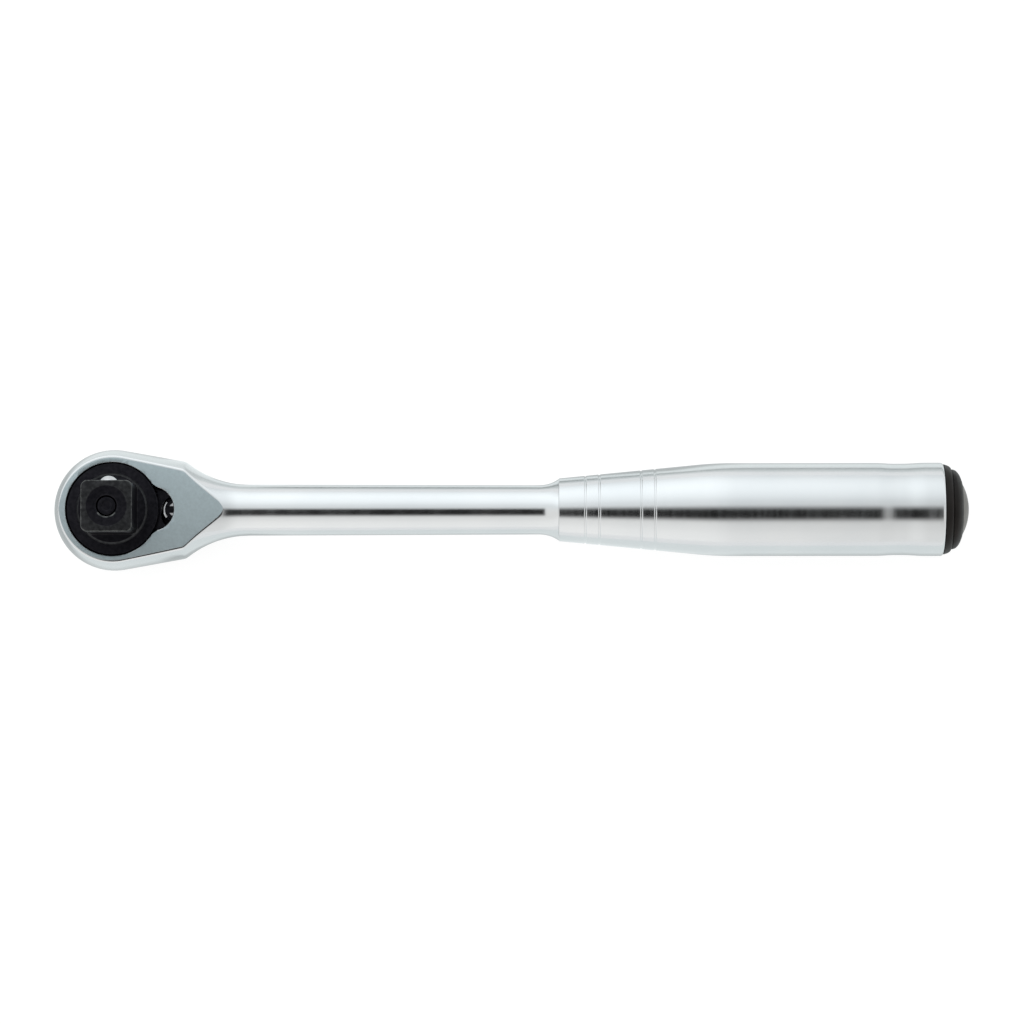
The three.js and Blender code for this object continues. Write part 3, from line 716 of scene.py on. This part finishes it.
def washer(name, node, body, finish, size):
    """A flat or waved washer with eased edges."""
    low, high = size.low, size.low + size.thick
    ease = min(0.08, 0.3 * size.thick)
    inner, outer = size.inner, size.outer
    corners = ((inner, low), (outer, low), (outer, high), (inner, high))
    outline = eased([(*corner, ease) for corner in corners])
    rings = [
        [(x, y, z + size.wave * cos(size.waves * atan2(y, x))) for x, y, z in ring]
        for ring in turned(outline)
    ]
    piece = mesh_of(name, rings, closed=True)
    settle(piece, body, finish)
    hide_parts(node)


def open_ring(name, node, body, finish, size, x=0.0):
    """A retaining ring with a gap, of rounded rectangular section."""
    half_width = (size.outer - size.inner) / 2
    half_thick = size.thick / 2
    ease = 0.3 * half_thick
    corners = [(a * half_width, b * half_thick) for a, b in ((1, 1), (-1, 1), (-1, -1), (1, -1))]
    section = eased([(*corner, ease) for corner in corners], steps=3)
    start = radians(size.gap_at + size.gap / 2)
    end = start + radians(360 - size.gap)
    middle = size.inner + half_width
    z = size.low + half_thick
    path = []
    for angle in spaced(start, end, FINE_SIDES):
        out = Vector((cos(angle), sin(angle), 0))
        path.append((out * middle + Vector((x, 0, z)), out, Vector((0, 0, 1))))
    piece = mesh_of(name, swept(path, section))
    settle(piece, body, finish)
    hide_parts(node)
    return piece


def lever_clip():
    """The ring round the lever's shaft, bright steel in front as a painted highlight, and black oxide
    elsewhere as painted shade.
    """
    clip, steel = LEVER_CLIP, bright_steel()
    piece = open_ring("shaft_clip", "lever_clip", "reverser", steel, clip, LEVER_X)
    slope = tan(radians(clip.bright_half))

    # Faces outside the front arc take black oxide: painted shade on the rest of the ring.
    def dark(place, up):
        return abs(place.y) > (LEVER_X - place.x) * slope

    finish_faces(piece, [black_oxide()], dark)


def coil(spring, low, high):
    """Rings of a coil spring about Z, whose first and last turns may lie flatter than the rest."""
    section = arc(0, 0, spring.wire, 0, 330, 11)
    path = []
    for t in spaced(0, 1, spring.turns * COIL_STEPS):
        rise = t - spring.flatter * sin(4 * pi * t) / 2
        angle = 2 * pi * spring.turns * t
        out = Vector((cos(angle), sin(angle), 0))
        point = out * spring.coil + Vector((0, 0, low + (high - low) * rise))
        path.append((point, out, Vector((0, 0, 1))))
    return swept(path, section)


def button_spring():
    s = BUTTON_SPRING
    piece = mesh_of("button_coil", coil(s, s.low, s.high))
    settle(piece, "drive", bright_steel(), sharp=60)
    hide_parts("button_spring")
    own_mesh(piece)


def along_plunger(rings):
    """Rings drawn along Z, laid along the plunger's line, which points away from the lever."""
    lay = Matrix.Rotation(radians(LEVER.angle), 3, "Z") @ Matrix.Rotation(radians(-90), 3, "Y")
    return moved(rings, x=LEVER_X, z=PLUNGER.z, turn=lay)


def plunger_spring():
    s = PLUNGER_SPRING
    low = -PLUNGER.hole_depth + s.wire + s.gap
    high = PLUNGER.tail - s.wire - s.gap
    piece = mesh_of("plunger_coil", along_plunger(coil(s, low, high)))
    settle(piece, "reverser", bright_steel(), sharp=60)
    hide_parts("plunger_spring")
    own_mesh(piece)


def pawl_plunger():
    p = PLUNGER
    nose = arc(0, p.tip - 0.75, 0.75, 0, 90, 12)
    outline = [(0, p.tail), (p.radius - 0.08, p.tail), (p.radius, p.tail + 0.08)]
    outline += [(p.radius, p.tip - 0.85), *nose]
    piece = mesh_of("plunger_pin", along_plunger(turned(outline, FINE_SIDES)))
    settle(piece, "plunger", bright_steel())
    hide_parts("pawl_plunger")


def lever_o_ring():
    section = arc(O_RING.middle, O_RING.z, O_RING.wire, 0, 345, 23)
    piece = mesh_of("seal_ring", moved(turned(section, FINE_SIDES), x=LEVER_X), closed=True)
    settle(piece, "wrench_body", seal_rubber())
    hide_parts("lever_o_ring")


# ---- the reversing mechanism

def teardrop(inset, z):
    """A ring of the lever's outline: a round hub and a round thumb tab joined by tangent sides."""
    hub, tab, tab_x = LEVER.hub - inset, LEVER.tab - inset, LEVER.tab_x
    tangent = degrees(acos((hub - tab) / tab_x))
    hub_arc = arc(0, 0, hub, tangent, 360 - tangent, 72)
    tab_arc = arc(tab_x, 0, tab, -tangent, tangent, 36)
    to_tab, to_hub = side_points(hub_arc[-1], tab_arc[0]), side_points(tab_arc[-1], hub_arc[0])
    return [(x, y, z) for x, y in hub_arc + to_tab + tab_arc + to_hub]


def side_points(start, end):
    """The points between two ends of a straight side, both ends left out."""
    return [tuple(Vector(start).lerp(Vector(end), t)) for t in spaced(0, 1, 10)[1:-1]]


def lever_circle(radius, z):
    """A ring round the hub whose points face those of the teardrop."""
    angles = [atan2(y, x) for x, y, _ in teardrop(0, z)]
    return [(radius * cos(a), radius * sin(a), z) for a in angles]


def reversing_lever():
    low, high = LEVER.low, LEVER.high
    edge = eased([(1.3, low), (0, low, 0.5), (0, high, 0.2), (1.3, high)], steps=6)
    rings = [teardrop(inset, z) for inset, z in edge]
    hole = eased([
        (LEVER.hole, high, 0.08),
        (LEVER.hole, LEVER.counterbore_z),
        (LEVER.counterbore, LEVER.counterbore_z, 0.05),
        (LEVER.counterbore, low),
    ])
    rings += [lever_circle(radius, z) for radius, z in hole]
    piece = mesh_of("thumb_lever", rings, closed=True)
    across = Matrix.Rotation(radians(90), 3, "X")
    end, radius = LEVER.hub, LEVER.grip_radius
    grip = turned([(0, -end), (radius, -end), (radius, end), (0, end)], 32)
    for x in LEVER.grips:
        carve(piece, moved(grip, x=x, z=low, turn=across))
    piece.data.transform(Matrix.Rotation(radians(LEVER.angle), 4, "Z"))
    piece.data.transform(Matrix.Translation((LEVER_X, 0, 0)))
    settle(piece, "reverser", black_oxide())
    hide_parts("reversing_lever")


def lever_shaft():
    s = SHAFT
    outline = eased([
        (0, s.low + 0.12), (1.5, s.low + 0.1, 0.2), (1.9, s.low, 0.15),
        (s.head - 0.15, s.low, 0.08), (s.head, s.low + 0.15, 0.08), (s.head, s.head_z, 0.05),
        (s.radius, s.head_z, 0.05), (s.radius, s.groove_low, 0.03), (s.groove, s.groove_low, 0.03),
        (s.groove, s.groove_high, 0.03), (s.radius, s.groove_high, 0.03),
        (s.radius, s.top - 0.12, 0.06), (s.radius - 0.12, s.top, 0.06),
        (s.bright, s.top), (0, s.top),
    ])
    piece = mesh_of("lever_spindle", turned(outline, FINE_SIDES))
    half = s.slot_width / 2
    slot = [(-s.head, -half), (s.head, -half), (s.head, half), (-s.head, half)]
    carve(piece, prism(slot, (0, 0), s.top - s.slot_depth, s.top + PAST))
    length = s.radius + PAST
    floor, radius = -PLUNGER.hole_depth, PLUNGER.hole
    hole = [(0, floor), (radius, floor), (radius, length), (0, length)]
    piece.data.transform(Matrix.Translation((LEVER_X, 0, 0)))
    carve(piece, along_plunger(turned(hole, 48)))
    settle(piece, "reverser", black_oxide())
    finish_faces(piece, [bright_steel()], shaft_finish)
    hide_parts("lever_shaft")


def shaft_finish(place, up):
    """1, bright, on the middle of the shaft's end and 0 elsewhere."""
    return place.z > SHAFT.top - NEAR and hypot(place.x - LEVER_X, place.y) < SHAFT.bright


def pawl():
    """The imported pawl, with eased edges and its own finish."""
    piece = frame["nodes"]["pawl"]
    for holder in piece.material_slots:
        holder.material = black_oxide()
    ease = piece.modifiers.new("eased edges", "BEVEL")
    ease.width = PAWL_EDGE * MILLIMETRE
    ease.segments = 2
    ease.limit_method = "ANGLE"
    ease.angle_limit = radians(40)


# ---- materials

class Nodes:
    """A node material, with small helpers for making its nodes."""

    def __init__(self, name):
        self.material = bpy.data.materials.new(name)
        self.material.use_nodes = True
        self.tree = self.material.node_tree

    def feed(self, socket, value):
        """Gives a socket a number, a colour or another node's output."""
        if isinstance(value, bpy.types.NodeSocket):
            self.tree.links.new(value, socket)
        else:
            socket.default_value = value

    def node(self, kind, sockets, **settings):
        """A new node, with its settings and what its sockets are fed."""
        node = self.tree.nodes.new("ShaderNode" + kind)
        for setting, value in settings.items():
            setattr(node, setting, value)
        for socket, value in sockets.items():
            self.feed(node.inputs[socket], value)
        return node

    @cached_property
    def place(self):
        """The place in the frame, in metres."""
        return self.node("TexCoord", {}).outputs["Object"]

    def axes(self, vector):
        """The separate X, Y and Z of a vector."""
        return self.node("SeparateXYZ", {"Vector": vector}).outputs

    def maths(self, operation, *values):
        return self.node("Math", dict(enumerate(values)), operation=operation).outputs["Value"]

    def ranged(self, value, start, end, low=0.0, high=1.0, kind="LINEAR"):
        """A number that goes from low to high as the value goes from start to end."""
        limits = {"From Min": start, "From Max": end, "To Min": low, "To Max": high}
        sockets = {"Value": value, **limits}
        return self.node("MapRange", sockets, interpolation_type=kind).outputs["Result"]

    def mixed(self, share, low, high):
        """A colour between two."""
        sockets = {"Factor": share, "A": (*low, 1), "B": (*high, 1)}
        return self.node("Mix", sockets, data_type="RGBA").outputs["Result"]


class Surface(Nodes):
    """A Principled material that varies from place to place."""

    def __init__(self, name, **sockets):
        super().__init__(name)
        self.shader = self.tree.nodes["Principled BSDF"]
        for socket, value in sockets.items():
            self.feed(self.shader.inputs[socket.replace("_", " ")], value)

    def noise(self, scale, detail=3.0, stretch=(1, 1, 1)):
        place = self.node("Mapping", {"Vector": self.place, "Scale": stretch}).outputs["Vector"]
        sockets = {"Vector": place, "Scale": scale, "Detail": detail}
        return self.node("TexNoise", sockets).outputs["Fac"]

    def rings(self, scale):
        """Fine turning marks about the drive axis."""
        centred = self.node("VectorMath", {0: self.place, 1: ORIGIN}, operation="SUBTRACT")
        level = {0: centred.outputs["Vector"], 1: (1, 1, 0)}
        flat = self.node("VectorMath", level, operation="MULTIPLY")
        distance = self.node("VectorMath", {0: flat.outputs["Vector"]}, operation="LENGTH")
        sockets = {"W": distance.outputs["Value"], "Scale": scale, "Detail": 2.0}
        return self.node("TexNoise", sockets, noise_dimensions="1D").outputs["Fac"]

    def painted_shade_across_wrench(self, low, high):
        """A share for painted shade: from 0 at one distance across the wrench to 1 at another, a
        little uneven.
        """
        share = self.ranged(self.axes(self.place)["Y"], low, high, 0.06, 0.94)
        uneven = self.varied(self.noise(2200, 6), -0.14, 0.14)
        return self.maths("ADD", share, uneven)

    def varied(self, noise, low, high):
        """A number that follows a noise between two values."""
        return self.ranged(noise, NOISE_LOW, NOISE_HIGH, low, high)

    def colour(self, noise, low, high, start=NOISE_LOW, end=NOISE_HIGH):
        share = self.ranged(noise, start, end)
        self.feed(self.shader.inputs["Base Color"], self.mixed(share, low, high))

    def roughness(self, noise, low, high):
        self.feed(self.shader.inputs["Roughness"], self.varied(noise, low, high))

    def relief(self, height, distance):
        """A bump of a real height, in millimetres, on top of any that is there."""
        sockets = {"Height": height, "Distance": distance * MILLIMETRE, "Strength": 1.0}
        bump = self.node("Bump", sockets)
        before = self.shader.inputs["Normal"].links
        if before:
            self.feed(bump.inputs["Normal"], before[0].from_socket)
        self.feed(self.shader.inputs["Normal"], bump.outputs["Normal"])


class Glow(Nodes):
    """A material that only gives light, more in one place than in another."""

    def __init__(self, name):
        super().__init__(name)
        self.tree.nodes.clear()

    def inside(self, value, limits, soft):
        """1 between two limits and 0 outside them, with soft edges."""
        low, high = limits
        rise = self.ranged(value, low - soft / 2, low + soft / 2, kind="SMOOTHSTEP")
        fall = self.ranged(value, high + soft / 2, high - soft / 2, kind="SMOOTHSTEP")
        return self.maths("MULTIPLY", rise, fall)

    def dimmed(self, level, share, loss):
        """A level that falls by a part of itself where share is 1."""
        kept = self.maths("SUBTRACT", 1.0, self.maths("MULTIPLY", share, loss))
        return self.maths("MULTIPLY", level, kept)

    def curve(self, value, levels):
        """A level read off (place, level) pairs at a value."""
        low, high = levels[0][0], levels[-1][0]
        greatest = max(level for _, level in levels)
        ramp = self.node("ValToRGB", {"Fac": self.ranged(value, low, high)})
        stops = ramp.color_ramp.elements
        while len(stops) < len(levels):
            stops.new(0.5)
        for stop, (place, level) in zip(stops, levels):
            stop.position = (place - low) / (high - low)
            stop.color = (*[level / greatest] * 3, 1)
        return self.maths("MULTIPLY", ramp.outputs["Color"], greatest)

    def finished(self, level, colour):
        glow = self.node("Emission", {"Color": colour, "Strength": level})
        self.node("OutputMaterial", {"Surface": glow.outputs["Emission"]})
        return self.material


CHROME_DEEP = (0.630, 0.652, 0.664)
CHROME_PALE = (0.665, 0.682, 0.690)
# The ground faces' two colours are painted shade: the deep one on the -Y side, the pale one on the
# lit +Y side.
GROUND_SHADED_SIDE = (0.345, 0.402, 0.419)
GROUND_LIT_SIDE = (0.467, 0.550, 0.577)


@cache
def satin_chrome():
    s = Surface("satin_chrome_plate", Metallic=1.0)
    s.colour(s.noise(60), CHROME_DEEP, CHROME_PALE)
    s.roughness(s.noise(250, 5), 0.14, 0.19)
    s.relief(s.noise(9000, 2), 0.0012)
    s.relief(s.noise(500, 3), 0.004)
    return s.material


@cache
def turned_chrome():
    s = Surface("satin_chrome_turned", Metallic=1.0)
    s.colour(s.noise(60), CHROME_DEEP, CHROME_PALE)
    s.roughness(s.noise(120, 5, (8, 1, 1)), 0.14, 0.19)
    s.relief(s.noise(2500, 2, (4, 0.2, 0.2)), 0.0012)
    s.relief(s.noise(9000, 2), 0.0008)
    return s.material


@cache
def ground_face_with_painted_shade():
    s = Surface("satin_chrome_ground_painted_shade", Metallic=1.0)
    # Painted shade: the ground face is darker towards -Y and lighter towards +Y, where the light
    # falls.
    s.colour(s.painted_shade_across_wrench(-0.0095, 0.0095), GROUND_SHADED_SIDE, GROUND_LIT_SIDE, 0, 1)
    s.roughness(s.noise(700, 5), 0.38, 0.44)
    s.relief(s.noise(7000, 4), 0.004)
    return s.material


def oxide(name, deep, pale):
    s = Surface(name, Metallic=0.9)
    s.colour(s.noise(1500, 5), deep, pale, 0.36, 0.64)
    s.roughness(s.noise(900, 5), 0.28, 0.38)
    s.relief(s.rings(6000), 0.003)
    s.relief(s.noise(6000, 3), 0.003)
    return s.material


@cache
def black_oxide():
    return oxide("black_oxide_steel", (0.006, 0.006, 0.0085), (0.013, 0.0125, 0.016))


@cache
def rubbed_oxide_and_highlight():
    """Lighter oxide on the corners of the square's end, where sockets rub it, and a painted edge
    highlight on the boss's chamfer.
    """
    return oxide("rubbed_and_highlighted_black_oxide", (0.017, 0.0175, 0.019), (0.036, 0.037, 0.039))


@cache
def edge_highlight_oxide():
    """Lighter oxide as a painted edge highlight, on the square's edges and on one side of the rod
    hole's mouth.
    """
    return oxide("painted_highlight_black_oxide", (0.018, 0.019, 0.020), (0.085, 0.088, 0.086))


@cache
def dark_pocket_steel():
    """The walls and floors of the pockets in the head, darker than the rest of the forging."""
    s = Surface("dark_pocket_walls", Metallic=0.9)
    s.colour(s.noise(900, 4), (0.010, 0.010, 0.013), (0.024, 0.023, 0.027))
    s.roughness(s.noise(900, 5), 0.30, 0.42)
    s.relief(s.noise(4000, 3), 0.004)
    return s.material


@cache
def bright_steel():
    s = Surface("bright_steel", Metallic=1.0)
    s.colour(s.noise(900, 4), (0.50, 0.51, 0.53), (0.62, 0.63, 0.64))
    s.roughness(s.noise(1500, 4), 0.10, 0.18)
    s.relief(s.noise(9000, 2), 0.001)
    return s.material


@cache
def black_plastic():
    s = Surface("moulded_black_plastic", Specular_IOR_Level=0.14)
    s.colour(s.noise(300, 4), (0.006, 0.005, 0.0045), (0.011, 0.009, 0.008))
    s.roughness(s.noise(500, 4), 0.32, 0.42)
    s.relief(s.noise(4000, 3), 0.008)
    return s.material


@cache
def badge_grey():
    s = Surface("badge_grey_dome", Specular_IOR_Level=0.4)
    s.colour(s.noise(300, 4), (0.140, 0.135, 0.124), (0.170, 0.164, 0.152))
    s.roughness(s.noise(500, 4), 0.28, 0.36)
    s.relief(s.noise(3000, 3), 0.004)
    return s.material


@cache
def seal_rubber():
    s = Surface("seal_rubber")
    s.colour(s.noise(900, 4), (0.012, 0.012, 0.012), (0.022, 0.022, 0.021))
    s.roughness(s.noise(900, 4), 0.6, 0.75)
    s.relief(s.noise(5000, 3), 0.01)
    return s.material


# ---- the studio

TENT = Numbers(radius=0.5, half_length=1.6, steps=64)
# White paper lit from below as well, so that the wrench throws only a faint shadow.
PAPER = {
    "Base_Color": (0.25, 0.25, 0.25, 1), "Roughness": 1.0, "Specular_IOR_Level": 0.0,
    "Emission_Color": (1, 1, 1, 1), "Emission_Strength": 0.84,
}
FLOOR_HALF = 3.0
CARD_HEIGHT = 0.0002


def studio_strip(name, pairs, material):
    """A band of the studio's own, not of the wrench, through pairs of points."""
    points = [point for pair in pairs for point in pair]
    mesh = bpy.data.meshes.new(name)
    mesh.from_pydata(points, [], [(i, i + 2, i + 3, i + 1) for i in range(0, len(points) - 2, 2)])
    mesh.materials.append(material)
    piece = in_scene(name, mesh)
    return piece


def make_floor():
    half, z = FLOOR_HALF, cad_low.z
    pairs = [((x, -half, z), (x, half, z)) for x in (-half, half)]
    studio_strip("studio_floor", pairs, Surface("white_paper", **PAPER).material)


# Cards on the floor, which only the wrench's reflections show. They give its outline an edge, and
# a thin grey line inside the upper one. Their light is by the share of their half width, -1 to 1.
# Their stations are a place along the wrench, the half width there, and the line's strength.
CARD_LIGHT = ((-1.0, 1.0), (-0.31, 1.0), (-0.19, 0.62), (0.19, 0.62), (0.29, 1.05), (1.0, 1.0))
CARD_LINE = ((0, 0), (0.45, 0), (0.48, 0.48), (0.54, 0.48), (0.6, 0.3), (0.75, 0.17), (1.0, 0.08))
CARD_STATIONS = (
    (-0.1, 0.064, 0), (-0.066, 0.064, 0), (-0.055, 0.045, 0.2), (-0.042, 0.039, 1.35),
    (0.004, 0.039, 1.35), (0.045, 0.058, 1), (0.11, 0.058, 1),
)
CARD_COLOUR = (0.95, 1.0, 1.0, 1)


def make_cards():
    glow = Glow("grey_cards")
    strength, share, _ = glow.axes(glow.node("UVMap", {}).outputs["UV"])
    level = glow.curve(share, CARD_LIGHT)
    level = glow.dimmed(level, glow.curve(share, CARD_LINE), strength)
    z = cad_low.z + CARD_HEIGHT
    pairs = [((x, -half, z), (x, half, z)) for x, half, _ in CARD_STATIONS]
    cards = studio_strip("grey_cards", pairs, glow.finished(level, CARD_COLOUR))
    layer = cards.data.uv_layers.new(name="line_and_share")
    for loop in cards.data.loops:
        station, side = divmod(loop.vertex_index, 2)
        layer.data[loop.index].uv = (CARD_STATIONS[station][2], 2 * side - 1)
    cards.visible_camera = cards.visible_diffuse = cards.visible_shadow = False


# How bright the tent is at each angle from overhead, in degrees, towards +Y.
TENT_LIGHT = (
    (-90, 1.2), (-65, 1.16), (-35, 1.0), (15, 1.05), (30, 1.3), (45, 1.45), (60, 1.5), (75, 1.4),
    (90, 1.15),
)
# The dark window round the lens: across the wrench in degrees, and along the wrench in metres.
LENS_WINDOW = Numbers(
    across=(-28.5, 2.5), soft_across=17.0, along=(-0.16, 0.17), soft_along=0.09, loss=0.99,
)
# Its light is cooler on the +Y side.
TENT_COLOURS = Numbers(cool=(0.965, 1.0, 1.015), warm=(1.01, 1.0, 0.985), soft=0.2)
# The tent is a little dimmer past the handle.
DIM_END = Numbers(start=0.01, end=0.12, loss=0.16)


def tent_material():
    glow = Glow("light_tent")
    x, y, z = glow.axes(glow.place)
    angle = glow.maths("DEGREES", glow.maths("ARCTAN2", y, z))
    across = glow.inside(angle, LENS_WINDOW.across, LENS_WINDOW.soft_across)
    along = glow.inside(x, LENS_WINDOW.along, LENS_WINDOW.soft_along)
    level = glow.curve(angle, TENT_LIGHT)
    level = glow.dimmed(level, glow.maths("MULTIPLY", across, along), LENS_WINDOW.loss)
    level = glow.dimmed(level, glow.ranged(x, DIM_END.start, DIM_END.end), DIM_END.loss)
    share = glow.ranged(y, -TENT_COLOURS.soft, TENT_COLOURS.soft, kind="SMOOTHSTEP")
    return glow.finished(level, glow.mixed(share, TENT_COLOURS.warm, TENT_COLOURS.cool))


def make_tent():
    """A half cylinder of soft light over the wrench, with a dark window round the lens."""
    pairs = []
    for angle in spaced(-90, 90, TENT.steps):
        y = TENT.radius * sin(radians(angle))
        z = TENT.radius * cos(radians(angle))
        pairs.append(((TENT.half_length, y, z), (-TENT.half_length, y, z)))
    tent = studio_strip("light_tent", pairs, tent_material())
    tent.visible_camera = False


def make_world():
    world = bpy.data.worlds.new("white_room")
    world.use_nodes = True
    background = world.node_tree.nodes["Background"]
    background.inputs["Color"].default_value = (1, 1, 1, 1)
    background.inputs["Strength"].default_value = 1.0
    bpy.context.scene.world = world


# The lens stands almost straight above the drive side, a little towards the handle and towards -Y.
LENS = Numbers(
    focal=156.5, sensor=36, distance=0.84, lean_x=0.55, lean_y=-3.0,
    aim_x=0.00014, aim_y=-0.0004, roll=-0.04,
)


def make_camera():
    camera = in_scene("camera", bpy.data.cameras.new("camera"))
    bpy.context.scene.camera = camera
    camera.data.lens = LENS.focal
    camera.data.sensor_width = LENS.sensor
    middle_x = (cad_low.x + cad_high.x) / 2
    aim = Vector((middle_x + LENS.aim_x, LENS.aim_y, ORIGIN.z))
    lean = [tan(radians(angle)) for angle in (LENS.lean_x, LENS.lean_y)]
    away = Vector((*lean, 1)).normalized()
    right = Vector((0, 1, 0)).cross(away).normalized()
    upright = Matrix((right, away.cross(right), away)).transposed().to_4x4()
    roll = Matrix.Rotation(radians(LENS.roll), 4, "Z")
    camera.matrix_world = Matrix.Translation(aim + away * LENS.distance) @ upright @ roll


# ---- the whole scene

def make_wrench():
    head_and_shank()
    handle_sleeve()
    end_plug()
    cap_badge()
    drive_gear()
    detent_ball()
    release_rod()
    release_button()
    washer("thrust_ring", "thrust_washer", "drive", bright_steel(), THRUST_WASHER)
    washer("wave_ring", "wave_washer", "wrench_body", bright_steel(), WAVE_WASHER)
    open_ring("drive_circlip", "gear_circlip", "drive", black_oxide(), CIRCLIP)
    open_ring("button_ring", "button_snap_ring", "drive", bright_steel(), SNAP_RING)
    lever_clip()
    button_spring()
    plunger_spring()
    pawl_plunger()
    lever_o_ring()
    reversing_lever()
    lever_shaft()
    pawl()


make_wrench()
make_floor()
make_cards()
make_tent()
make_world()
make_camera()
bpy.context.scene.view_settings.view_transform = "Standard"
